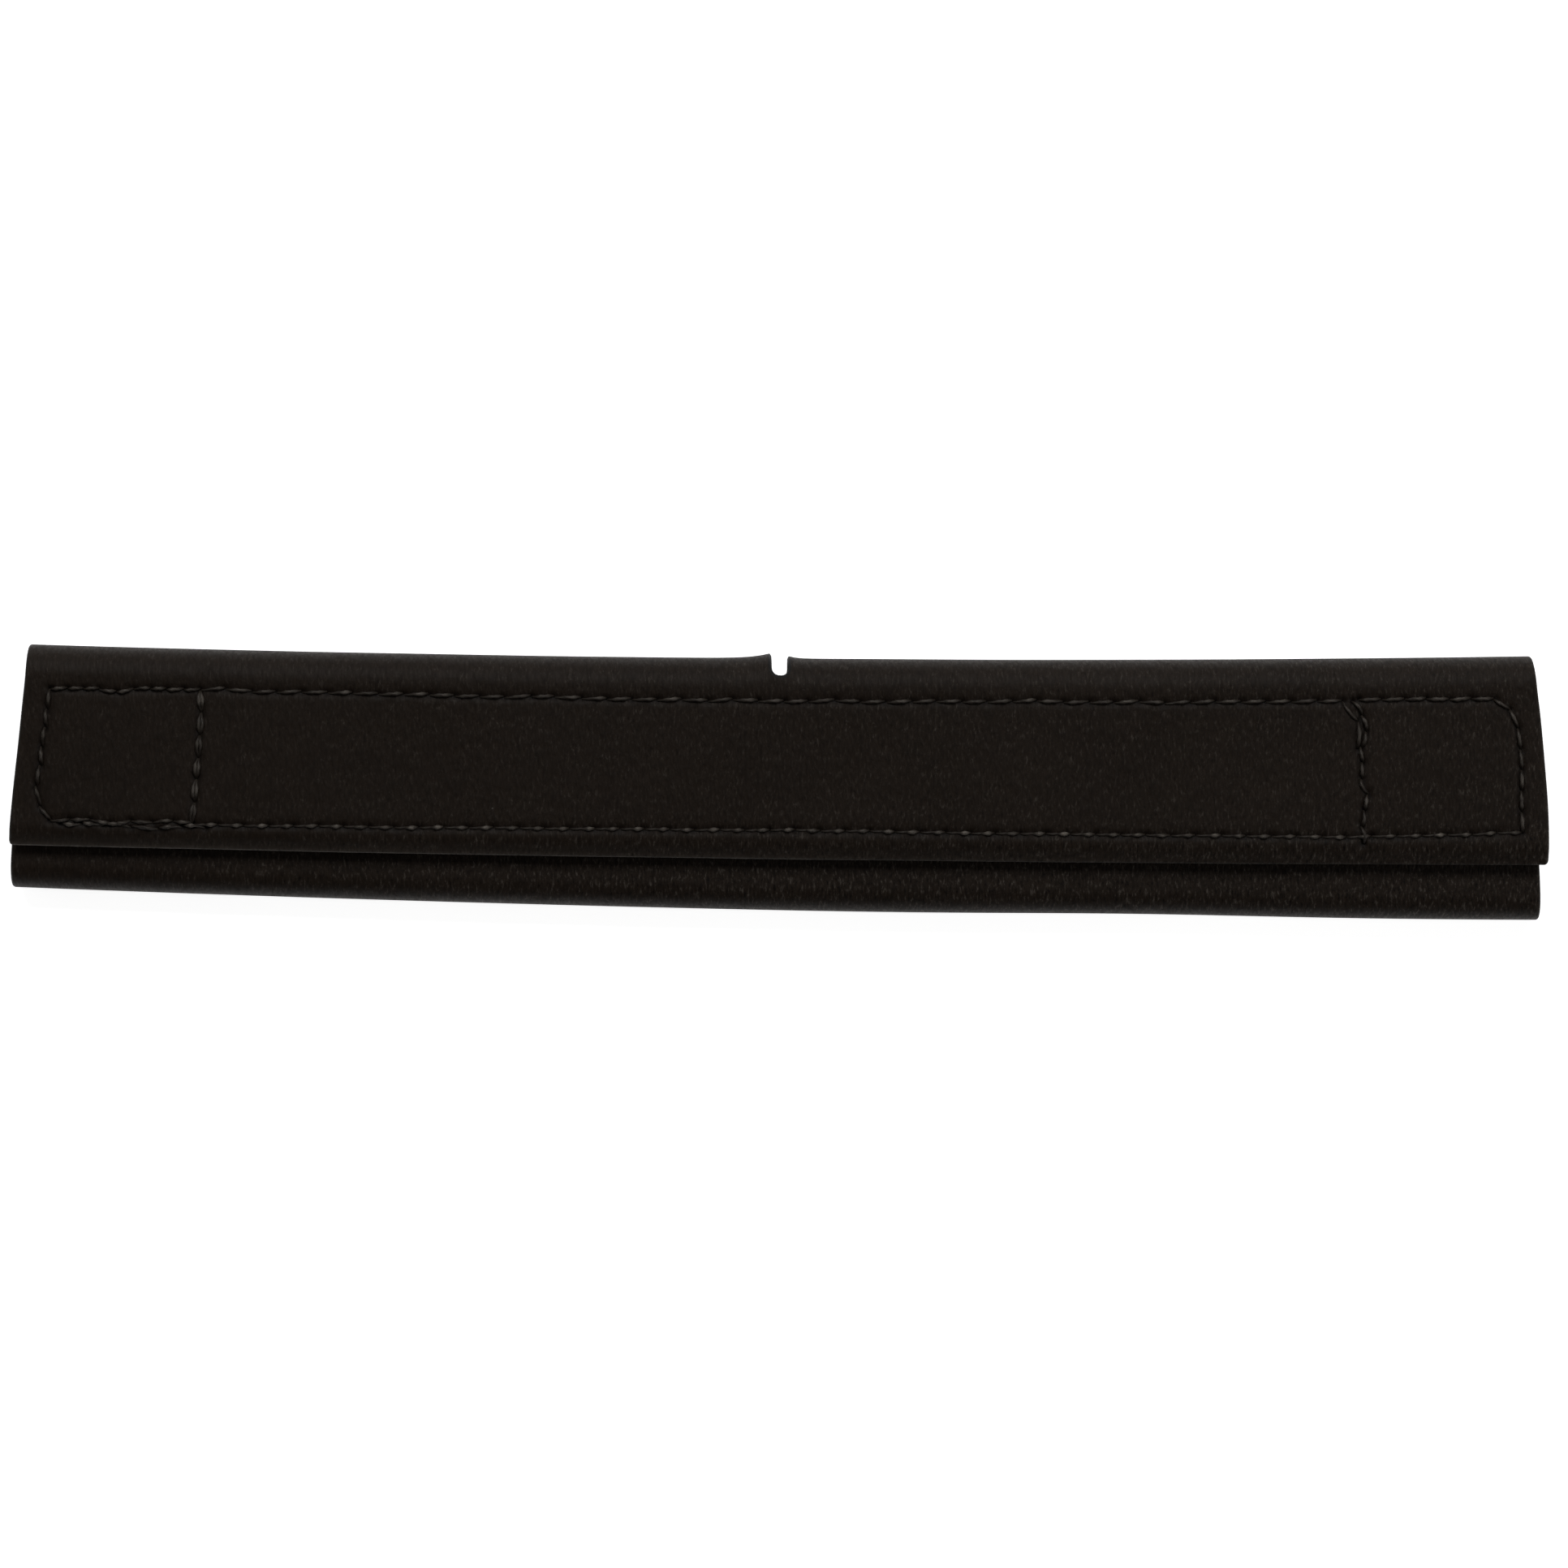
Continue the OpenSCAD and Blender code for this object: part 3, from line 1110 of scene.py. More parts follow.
class Value:
    """A socket of a shader's node tree, with the usual operators on numbers."""

    def __init__(self, shader: "Shader", socket: bpy.types.NodeSocket) -> None:
        """Keeps the socket.

        Args:
            shader: The shader that it belongs to.
            socket: The output to work with.
        """
        self.shader, self.socket = shader, socket

    def _math(self, operation: str, first: "Value | float", second: "Value | float") -> "Value":
        """Adds a Math node of two values."""
        node = self.shader.node("ShaderNodeMath", {"operation": operation}, {0: first, 1: second})
        return Value(self.shader, node.outputs[0])

    __add__ = _operator("ADD")
    __radd__ = _operator("ADD", swapped=True)
    __sub__ = _operator("SUBTRACT")
    __rsub__ = _operator("SUBTRACT", swapped=True)
    __mul__ = _operator("MULTIPLY")
    __rmul__ = _operator("MULTIPLY", swapped=True)

    def clamped(self) -> "Value":
        """This value held between 0 and 1."""
        node = self.shader.node("ShaderNodeClamp", {}, {"Value": self})
        return Value(self.shader, node.outputs[0])

    def wave(self) -> "Value":
        """The sine of this value."""
        return self._math("SINE", self, 0.0)


class Shader:
    """The node tree of one finish."""

    def __init__(self, name: str) -> None:
        """Starts an empty tree with a surface shader.

        Args:
            name: The finish's name.
        """
        self.material = bpy.data.materials.new(name)
        self.material.use_nodes = True
        self.tree = self.material.node_tree
        self.tree.nodes.clear()
        self.surface = self.node("ShaderNodeBsdfPrincipled")
        self.node("ShaderNodeOutputMaterial", {}, {"Surface": self.surface.outputs[0]})

    def node(
        self,
        kind: str,
        settings: dict[str, Any] | None = None,
        sockets: dict[str | int, Any] | None = None,
    ) -> bpy.types.Node:
        """Adds one node.

        Args:
            kind: The node's type.
            settings: Its own settings.
            sockets: Values, colours or links for its inputs.

        Returns:
            The node.
        """
        node = self.tree.nodes.new(kind)
        for key, value in (settings or {}).items():
            setattr(node, key, value)
        for key, value in (sockets or {}).items():
            source = value.socket if isinstance(value, Value) else value
            if isinstance(source, bpy.types.NodeSocket):
                self.tree.links.new(source, node.inputs[key])
            elif isinstance(source, tuple) and len(source) == 3 and node.inputs[key].type == "RGBA":
                node.inputs[key].default_value = (*source, 1.0)
            else:
                node.inputs[key].default_value = source
        return node

    def set(self, **sockets: Any) -> None:
        """Sets or links sockets of the surface shader.

        Args:
            sockets: Values, colours or links, by the socket's name with _ for each space.
        """
        for key, value in sockets.items():
            socket = self.surface.inputs[key.replace("_", " ")]
            if isinstance(value, Value):
                self.tree.links.new(value.socket, socket)
            else:
                socket.default_value = (*value, 1.0) if isinstance(value, tuple) else value

    def on_blank(self, stretch: tuple[float, float] = (1.0, 1.0)) -> Value:
        """Place on the leather blank in millimetres.

        Args:
            stretch: Scale along the sleeve and across the blank.

        Returns:
            The place, as a vector.
        """
        uv = self.node("ShaderNodeUVMap", {"uv_map": "blank"})
        scale = (UV_SPAN * stretch[0], UV_SPAN * stretch[1], 1.0)
        return self.vector("MULTIPLY", Value(self, uv.outputs[0]), scale)

    def in_space(self) -> Value:
        """Place in the object's own space in millimetres, as a vector."""
        place = self.node("ShaderNodeTexCoord").outputs["Object"]
        return self.vector("MULTIPLY", Value(self, place), (1 / MM, 1 / MM, 1 / MM))

    def vector(self, operation: str, first: Value, second: Value | tuple[float, ...]) -> Value:
        """Adds a Vector Math node of two vectors."""
        node = self.node("ShaderNodeVectorMath", {"operation": operation}, {0: first, 1: second})
        return Value(self, node.outputs[0])

    def parts(self, vector: Value) -> tuple[Value, Value]:
        """The first two parts of a vector."""
        node = self.node("ShaderNodeSeparateXYZ", {}, {0: vector})
        return Value(self, node.outputs[0]), Value(self, node.outputs[1])

    def noise(self, place: Value, size: float, detail: float = 3.0, rough: float = 0.5) -> Value:
        """Cloudy noise.

        Args:
            place: Where to read it, in millimetres.
            size: Size of its blotches, in millimetres.
            detail: How many finer layers it has.
            rough: How strong the finer layers are.

        Returns:
            A value from 0 to 1.
        """
        sockets = {"Vector": place, "Scale": 1 / size, "Detail": detail, "Roughness": rough}
        return Value(self, self.node("ShaderNodeTexNoise", {}, sockets).outputs[0])

    def cells(self, place: Value, size: float) -> Value:
        """Distance pattern of scattered cells.

        Args:
            place: Where to read it, in millimetres.
            size: Size of a cell, in millimetres.

        Returns:
            The distance, in cells.
        """
        sockets = {"Vector": place, "Scale": 1 / size}
        return Value(self, self.node("ShaderNodeTexVoronoi", {}, sockets).outputs["Distance"])

    def wobbled(self, place: Value, size: float, reach: float) -> Value:
        """A place pushed about by noise, so that a pattern isn't regular.

        Args:
            place: The place, in millimetres.
            size: Size of the noise.
            reach: How far it pushes.

        Returns:
            The moved place.
        """
        noise = self.node("ShaderNodeTexNoise", {}, {"Vector": place, "Scale": 1 / size})
        centred = self.vector("SUBTRACT", Value(self, noise.outputs[1]), (0.5, 0.5, 0.5))
        return self.vector("ADD", place, self.vector("MULTIPLY", centred, (reach, reach, 0.0)))

    def attribute(self, name: str) -> Value:
        """A number stored on the mesh."""
        return Value(self, self.node("ShaderNodeAttribute", {"attribute_name": name}).outputs["Fac"])

    def mix(
        self, amount: Value, first: "Value | tuple[float, ...]", second: "Value | tuple[float, ...]"
    ) -> Value:
        """A colour between two others.

        Args:
            amount: 0 for the first, 1 for the second.
            first: One colour.
            second: The other.

        Returns:
            The colour.
        """
        node = self.node("ShaderNodeMix", {"data_type": "RGBA"}, {0: amount, 6: first, 7: second})
        return Value(self, node.outputs[2])

    def bump(self, height: Value, depth: float) -> Value:
        """A surface roughened by a height.

        Args:
            height: The height, from 0 to 1.
            depth: How deep 1 is, in millimetres.

        Returns:
            The normal.
        """
        sockets = {"Height": height, "Distance": depth * MM, "Strength": 1.0}
        return Value(self, self.node("ShaderNodeBump", {}, sockets).outputs[0])


# --- Finishes ---


@dataclass(frozen=True)
class GrainLeather:
    """Black-brown drum-dyed leather with a fine streaky grain; its edges are painted lighter as wear
    and highlight, its stitch holes darker as shade.
    """

    name: str = "grain_leather"
    base: tuple[float, float, float] = (0.0092, 0.0062, 0.0042)
    pale: tuple[float, float, float] = (0.0180, 0.0125, 0.0088)
    # dark of the open grain's specks, also painted as shade in the needle holes and stitch grooves
    dark_and_shade: tuple[float, float, float] = (0.0026, 0.0016, 0.0011)
    # pale specks of the open grain: partly its own tone, partly painted glints on its tops
    fleck_glint: tuple[float, float, float] = (0.0540, 0.0460, 0.0385)
    # pale colour painted along the cut edges: wear and painted highlight
    rubbed_and_highlight: tuple[float, float, float] = (0.095, 0.083, 0.071)
    lint: tuple[float, float, float] = (0.16, 0.15, 0.135)
    pebble: float = 0.6
    depth: float = 0.11
    roughness: float = 0.52
    gloss: float = 0.09

    def make(self) -> bpy.types.Material:
        """Makes the material."""
        shader = Shader(self.name)
        place = shader.on_blank()
        streaky = shader.wobbled(shader.on_blank((1.6, 0.55)), 1.2, 0.6)
        domes = 1 - shader.cells(streaky, self.pebble)
        fine = 1 - shader.cells(streaky, self.pebble * 0.42)
        pores = shader.noise(place, 0.12, 2.0, 0.6)
        loose = shader.noise(place, 2.6, 4.0, 0.55)
        blotch = shader.noise(place, 14.0, 3.0, 0.5)
        grain = shader.noise(streaky, 0.55, 3.0, 0.7)
        # open grain, with more painted glint to the right
        open_grain = (shader.attribute("loose") + (loose - 0.5) * 1.6).clamped()
        height = domes * 0.5 + fine * 0.2 + pores * 0.14 + loose * 0.3 + grain * 0.5 * open_grain
        tone = (0.4 + (blotch - 0.5) * 0.5 + (loose - 0.5) * 0.7 + (domes - 0.5) * 0.7).clamped()
        # painted highlight and wear along the cut edges, from the mesh
        rub_and_highlight = (shader.attribute("wear_and_highlight") * (0.35 + 0.9 * loose)).clamped()
        lint = (1 - shader.cells(place, 11.0) * 60.0).clamped()
        colour = shader.mix(rub_and_highlight * 0.9, shader.mix(tone, self.base, self.pale), self.rubbed_and_highlight)
        # pale specks on the open grain, partly painted glint, more to the right
        colour = shader.mix(((grain - 0.55) * 7.0).clamped() * open_grain, colour, self.fleck_glint)
        colour = shader.mix(((0.46 - grain) * 8.0).clamped() * open_grain, colour, self.dark_and_shade)
        # painted shade in the needle holes and the grooves of the stitch rows
        colour = shader.mix((shader.attribute("pressed") * 0.9).clamped(), colour, self.dark_and_shade)
        shader.set(
            Base_Color=shader.mix(lint, colour, self.lint),
            Roughness=self.roughness + 0.16 * loose - 0.12 * domes,
            Specular_IOR_Level=self.gloss,
            Normal=shader.bump(height, self.depth),
        )
        return shader.material


@dataclass(frozen=True)
class FleshLeather:
    """The brushed inner face of the leather, dull and fibrous."""

    name: str = "flesh_leather"
    base: tuple[float, float, float] = (0.012, 0.0088, 0.0065)
    pale: tuple[float, float, float] = (0.054, 0.042, 0.032)
    depth: float = 0.06

    def make(self) -> bpy.types.Material:
        """Makes the material."""
        shader = Shader(self.name)
        place = shader.on_blank()
        nap = shader.noise(shader.wobbled(shader.on_blank((1.0, 0.45)), 2.0, 0.8), 0.16, 4.0, 0.7)
        brushed = shader.noise(place, 2.6, 4.0, 0.6)
        tone = (nap * 0.9 + brushed * 0.7 - 0.45).clamped()
        shader.set(
            Base_Color=shader.mix(tone, self.base, self.pale),
            Roughness=0.92 - 0.08 * brushed,
            Specular_IOR_Level=0.12,
            Sheen_Weight=0.1,
            Sheen_Roughness=0.5,
            Normal=shader.bump(nap + brushed * 0.4, self.depth),
        )
        return shader.material


@dataclass(frozen=True)
class CutLeather:
    """The cut edge: packed fibres, dyed and lightly burnished, painted pale where the mesh marks wear
    and highlight.
    """

    name: str = "cut_leather"
    base: tuple[float, float, float] = (0.003, 0.0022, 0.0017)
    # pale of the painted highlight and wear on the rounded cut edges
    pale: tuple[float, float, float] = (0.24, 0.21, 0.18)
    depth: float = 0.04

    def make(self) -> bpy.types.Material:
        """Makes the material."""
        shader = Shader(self.name)
        place = shader.in_space()
        fibres = shader.noise(place, 0.22, 4.0, 0.65)
        patches = shader.noise(place, 2.2, 3.0, 0.5)
        # painted highlight and wear where the mesh marks them; elsewhere the dyed edge stays near-black
        tone = ((fibres * 0.9 + patches * 0.8 - 0.4) * shader.attribute("wear_and_highlight")).clamped()
        shader.set(
            Base_Color=shader.mix(tone, self.base, self.pale),
            Roughness=0.62 - 0.14 * patches,
            Specular_IOR_Level=0.15,
            Normal=shader.bump(fibres + patches * 0.3, self.depth),
        )
        return shader.material


@dataclass(frozen=True)
class WovenTape:
    """The woven nylon ground of the hook and the loop tape."""

    name: str = "woven_tape"
    warp: float = 0.42
    weft: float = 0.5
    base: tuple[float, float, float] = (0.006, 0.006, 0.0065)
    pale: tuple[float, float, float] = (0.026, 0.026, 0.028)

    def make(self) -> bpy.types.Material:
        """Makes the material."""
        shader = Shader(self.name)
        place = shader.wobbled(shader.on_blank(), 1.5, 0.06)
        along, across = shader.parts(place)
        turn = 2 * math.pi
        ribs = (across * (turn / self.warp)).wave() * 0.5 + 0.5
        picks = (along * (turn / self.weft) + (across * (math.pi / self.warp)).wave() * 1.6).wave()
        weave = (ribs * 0.6 + (picks * 0.5 + 0.5) * 0.4).clamped()
        fuzz = shader.noise(place, 0.15, 3.0, 0.6)
        tone = (weave * 0.8 + fuzz * 0.5 - 0.25).clamped()
        shader.set(
            Base_Color=shader.mix(tone, self.base, self.pale),
            Roughness=0.72 - 0.12 * weave,
            Specular_IOR_Level=0.3,
            Normal=shader.bump(weave + fuzz * 0.25, 0.09),
        )
        return shader.material


@dataclass(frozen=True)
class Nylon:
    """Drawn nylon of the hooks or the loops, with a slight change of tone between strands."""

    name: str
    base: tuple[float, float, float]
    pale: tuple[float, float, float]
    roughness: float

    def make(self) -> bpy.types.Material:
        """Makes the material."""
        shader = Shader(self.name)
        place = shader.in_space()
        strands = shader.noise(place, 0.9, 2.0, 0.5)
        streaks = shader.noise(place, 0.1, 2.0, 0.5)
        tone = (strands * 1.1 + streaks * 0.5 - 0.35).clamped()
        shader.set(
            Base_Color=shader.mix(tone, self.base, self.pale),
            Roughness=self.roughness + 0.15 * (streaks - 0.5),
            Specular_IOR_Level=0.5,
            Normal=shader.bump(streaks, 0.01),
        )
        return shader.material


@dataclass(frozen=True)
class SewingThread:
    """Dark brown two-ply thread, waxed, painted pale where a stitch stands proud, as highlight and
    rubbing.
    """

    name: str = "sewing_thread"
    base: tuple[float, float, float] = (0.0085, 0.0062, 0.0047)
    pale: tuple[float, float, float] = (0.034, 0.027, 0.021)
    # pale colour painted on the proud crests: painted highlight, with rubbing
    rubbed_and_highlight: tuple[float, float, float] = (0.15, 0.132, 0.112)

    def make(self) -> bpy.types.Material:
        """Makes the material."""
        shader = Shader(self.name)
        place = shader.in_space()
        fibres = shader.noise(shader.wobbled(place, 0.5, 0.2), 0.09, 3.0, 0.6)
        lengths = shader.noise(place, 1.3, 2.0, 0.5)
        tone = (fibres * 0.7 + lengths * 0.8 - 0.35).clamped()
        # painted highlight on the proud crests, with rubbing, where the mesh marks it
        rub_and_highlight = (shader.attribute("wear_and_highlight") * (fibres * 1.2 + lengths * 2.4 - 1.25)).clamped()
        shader.set(
            Base_Color=shader.mix(rub_and_highlight, shader.mix(tone, self.base, self.pale), self.rubbed_and_highlight),
            Roughness=0.5 - 0.12 * lengths,
            Specular_IOR_Level=0.2,
            Normal=shader.bump(fibres, 0.03),
        )
        return shader.material


@dataclass(frozen=True)
class StudioPaper:
    """White seamless paper, lit from below like a light table so that it stays even."""

    name: str = "studio_paper"
    glow: float = 0.85

    def make(self) -> bpy.types.Material:
        """Makes the material."""
        shader = Shader(self.name)
        tooth = shader.noise(shader.in_space(), 0.8, 3.0, 0.5)
        shader.set(
            Base_Color=shader.mix(tooth, (0.88, 0.88, 0.88), (0.92, 0.92, 0.92)),
            Roughness=0.9,
            Specular_IOR_Level=0.1,
            Emission_Color=(1.0, 1.0, 1.0),
            Emission_Strength=self.glow,
        )
        return shader.material


@dataclass(frozen=True)
class Finishes:
    """The sleeve's finishes, made once and shared by its pieces."""

    grain: bpy.types.Material
    flesh: bpy.types.Material
    cut: bpy.types.Material
    tape: bpy.types.Material
    hooks: bpy.types.Material
    loops: bpy.types.Material
    thread: bpy.types.Material

    @classmethod
    def make(cls) -> "Finishes":
        """Makes every finish."""
        return cls(
            grain=GrainLeather().make(),
            flesh=FleshLeather().make(),
            cut=CutLeather().make(),
            tape=WovenTape().make(),
            hooks=Nylon("hook_nylon", (0.006, 0.006, 0.0065), (0.022, 0.022, 0.024), 0.42).make(),
            loops=Nylon("loop_nylon", (0.008, 0.008, 0.0085), (0.035, 0.035, 0.037), 0.6).make(),
            thread=SewingThread().make(),
        )

    def leather(self) -> list[bpy.types.Material]:
        """Finishes of a leather piece: its grain, its flesh and its cut edges."""
        return [self.grain, self.flesh, self.cut]


# --- The leather blank ---


@dataclass
class Leather:
    """The blank, cut into four pieces that meet where it stays straight.

    Args:
        blank: The folded blank.
        stitching: The seams that press into it.
        finishes: The sleeve's finishes.
        step: Greatest distance between columns.
        fine: Distance between columns at the rows across and at the ends.
        edge: How its cut edges are rounded.
        bending: Share of each quarter fold that bends, away from where two pieces meet. Not used.
        arc_step: Distance between rows round a fold.
        back_step: Distance between rows on the back.
        slot_step: Distance between rows where the slot ends.
        slot_rows: Where those rows start and stop, from the middle of the slot.
        seam_bands: Where each long seam of the flap lies across it, from above to below.
    """

    blank: Blank
    stitching: Stitching
    finishes: Finishes
    step: float = 0.55
    fine: float = 0.26
    edge: CutEdge = CutEdge()
    bending: float = 0.88
    arc_step: float = 0.3
    back_step: float = 1.2
    slot_step: float = 0.16
    slot_rows: tuple[float, float] = (4.2, 6.0)
    seam_bands: tuple[tuple[float, float], ...] = ((11.8, 9.5), (-5.4, -7.6))

    def columns(self) -> list[float]:
        """Places along the sleeve, closer at the slot, at the rows across and at the ends."""
        step, fine = self.step, self.fine
        cross, cross_end, last, last_end = SEAM_COLUMNS
        right = spaced(
            (0, 0.8, 0.4), (0.8, 1.9, 0.14), (1.9, 3.5, 0.3), (3.5, cross, step),
            (cross, cross_end, fine), (cross_end, last, step), (last, last_end, fine),
            (last_end, 99.2, 0.4),
        )
        return mirrored(right + [HALF_BLANK - inset for inset in reversed(self.edge.insets)])

    def edge_rows(self, at: float, inwards: int) -> list[float]:
        """Rows close to a cut edge, from the edge inwards.

        Args:
            at: Place of the edge across the blank.
            inwards: 1 where the leather lies past the edge, -1 where it lies before it.

        Returns:
            The rows.
        """
        return [at + inwards * inset for inset in self.edge.insets]

    def make(
        self,
        name: str,
        rows: list[float],
        free_rows: tuple[bool, bool],
        slotted: bool = False,
        presses: Sequence[Press] = (),
    ) -> bpy.types.Object:
        """Makes one piece of the blank.

        Args:
            name: Its name.
            rows: Its rows across the blank.
            free_rows: Which of the first and the last row are cut edges.
            slotted: Whether the slot is cut in it.
            presses: The threads that press into it.

        Returns:
            The piece.
        """
        half_t = self.blank.half_t
        slab = Slab(
            self.blank, self.columns(), rows, (-half_t, half_t), free_rows, self.edge,
            slotted=slotted,
        )
        piece = finish_piece(slab.build(presses), name, self.finishes.leather())
        return piece

    def lip(self) -> None:
        """The lip, from its edge round to the middle of the bottom fold."""
        blank = self.blank
        low, high = blank.lip_s(5.0), blank.lip_s(-7.4)
        rows = self.edge_rows(0.0, 1)
        rows += spaced(
            (rows[-1], low, 0.35), (low, low + 1.8, 0.26), (low + 1.8, high - 1.8, 0.8),
            (high - 1.8, high, 0.26), (high, blank.lip_end, 0.5),
            (blank.lip_end, blank.bottom_middle, self.arc_step),
        )[1:]
        presses = self.stitching.presses(Body.LIP, Face.FLESH)
        piece = self.make("lip_leather", rows, (True, False), presses=presses)
        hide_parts("lip_panel")
        y, r = blank.bottom_arc
        r *= self.bending
        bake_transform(piece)

    def back_lower(self) -> None:
        """The lower half of the back, from the middle of the bottom fold."""
        blank = self.blank
        rows = spaced(
            (blank.bottom_middle, blank.back_low, self.arc_step),
            (blank.back_low, blank.back_middle, self.back_step),
        )
        piece = self.make("back_lower_leather", rows, (False, False))
        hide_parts("bottom_fold")
        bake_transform(piece)

    def back_upper(self) -> None:
        """The upper half of the back, up to the middle of the top fold."""
        blank = self.blank
        end, start = (blank.slot.centre[1] - reach for reach in self.slot_rows)
        rows = spaced(
            (blank.back_middle, blank.back_high, self.back_step),
            (blank.back_high, start, self.arc_step), (start, end, self.slot_step),
            (end, blank.top_middle, self.arc_step),
        )
        piece = self.make("back_upper_leather", rows, (False, False), slotted=True)
        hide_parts("back_panel", "top_fold")
        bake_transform(piece)

    def flap(self) -> None:
        """The flap, from the middle of the top fold to its free edge."""
        blank = self.blank
        start, end = (blank.slot.centre[1] + reach for reach in self.slot_rows)
        upper, lower = ([blank.flap_s(y) for y in band] for band in self.seam_bands)
        last = blank.edge - self.edge.insets[-1]
        rows = spaced(
            (blank.top_middle, start, self.arc_step), (start, end, self.slot_step),
            (end, upper[0], 0.25),
            (upper[0], upper[1], 0.24), (upper[1], lower[0], 0.6), (lower[0], lower[1], 0.24),
            (lower[1], last, 0.32),
        )[:-1]
        rows += list(reversed(self.edge_rows(blank.edge, -1)))
        presses = self.stitching.presses(Body.FLAP, Face.GRAIN)
        piece = self.make("flap_leather", rows, (False, True), True, presses)
        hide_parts("flap_panel")
        y, r = blank.top_arc
        r *= self.bending
        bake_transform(piece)

    def build(self) -> None:
        """Makes the four pieces."""
        self.lip()
        self.back_lower()
        self.back_upper()
        self.flap()


# --- Hook and loop ---


@dataclass
class Closure:
    """The hook tape inside the flap and the loop tape on the lip."""

    SIDES: ClassVar[int] = 4
    HOOK_LEAN: ClassVar = (0.0, 0.0, 0.06, 0.24, 0.38)  # sideways, from root to tip
    HOOK_RISE: ClassVar = (-0.05, 0.26, 0.42, 0.48, 0.34)  # for a hook of HOOK_TALL
    HOOK_RADII: ClassVar = (0.13, 0.11, 0.1, 0.1, 0.07)
    HOOK_TALL: ClassVar[float] = 0.5
    LOOP_RINGS: ClassVar[int] = 7
    LOOP_RADIUS: ClassVar[float] = 0.075

    blank: Blank
    stitching: Stitching
    finishes: Finishes
    step: float = 0.8
    fine: float = 0.3
    inset: float = 1.7
    clear_of_seam: float = 0.8
    hook_pitch: tuple[float, float] = (1.25, 1.3)
    loop_count: int = 2300
    loop_reach: tuple[float, float] = (0.35, 0.75)
    loop_tall: tuple[float, float] = (0.55, 1.0)
    edge: CutEdge = CutEdge(0.2, 0.2, 0.0, 0.0, insets=(0.0, 0.08, 0.2))

    def columns(self) -> list[float]:
        """Places along a tape, closer at the rows of stitches across it."""
        cross, cross_end, last, last_end = SEAM_COLUMNS
        right = spaced(
            (0, cross, self.step), (cross, cross_end, self.fine), (cross_end, last, self.step),
            (last, last_end, self.fine), (last_end, 99.6, 0.4),
        )
        return mirrored(right + [HALF_BLANK - inset for inset in reversed(self.edge.insets)])

    def tape(
        self, name: str, node: str, body: Body, face: Face, span: tuple[float, float], thick: float
    ) -> None:
        """Makes the woven ground of one tape.

        Args:
            name: Its name.
            node: The CAD node that it stands for.
            body: The body that it rides on.
            face: The face of the leather that it is sewn to.
            span: Where it starts and ends across the blank.
            thick: Its thickness.
        """
        start, end = span
        rows = [start + inset for inset in self.edge.insets]
        rows += spaced(
            (rows[-1], start + 2.2, 0.28), (start + 2.2, end - 2.2, 0.8),
            (end - 2.2, end - self.edge.insets[-1], 0.28),
        )[1:-1]
        rows += [end - inset for inset in reversed(self.edge.insets)]
        near = self.blank.half_t
        heights = sorted((face.value * near, face.value * (near + thick)))
        slab = Slab(
            self.blank, self.columns(), rows, (heights[0], heights[1]), (True, True), self.edge,
            corner=0.3, inset=self.inset,
        )
        presses = self.stitching.presses(body, face)
        piece = finish_piece(slab.build(presses), name, [self.finishes.tape] * 3)
        length = 2 * float(self.blank.half_length(start) - self.inset)
        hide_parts(node)
        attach(piece, body.value)

    def hooks(self) -> None:
        """The field of bent nylon hooks inside the flap."""
        low, high = (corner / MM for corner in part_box("hook_field"))
        ribs = np.arange(self.blank.flap_s(high.y), self.blank.flap_s(low.y), self.hook_pitch[1])
        steps = np.arange(low.x, high.x, self.hook_pitch[0])
        x, s = (grid.ravel() for grid in np.meshgrid(steps, ribs))
        rng = np.random.default_rng(31)
        x = x + 0.6 * (np.round((s - ribs[0]) / self.hook_pitch[1]) % 2) + rng.normal(0, 0.05, x.shape)
        keep = self.stitching.clear(Body.FLAP, x, s, self.clear_of_seam) & (np.abs(x) < high.x)
        x, s = x[keep], s[keep]
        lean = np.array(self.HOOK_LEAN)
        rise = np.array(self.HOOK_RISE) * self.blank.layout.hook_h / self.HOOK_TALL
        ways = rng.choice([-1.0, 1.0], len(x))
        base = self.blank.half_t + self.blank.layout.hook_tape_t
        lines = self.blank.place(
            np.repeat(x[:, None], len(lean), axis=1),
            s[:, None] + ways[:, None] * lean[None, :],
            -(base + np.repeat(rise[None, :], len(x), axis=0)),
        )
        side = np.tile([1.0, 0.0, 0.0], (len(x), 1))
        radii = np.tile(np.array(self.HOOK_RADII)[:, None] * MM, (1, self.SIDES))
        bm = Strands(self.SIDES, len(lean)).sweep(lines, side, radii)
        piece = finish_piece(bm, "hook_field_hooks", [self.finishes.hooks])
        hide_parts("hook_field")
        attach(piece, Body.FLAP.value)

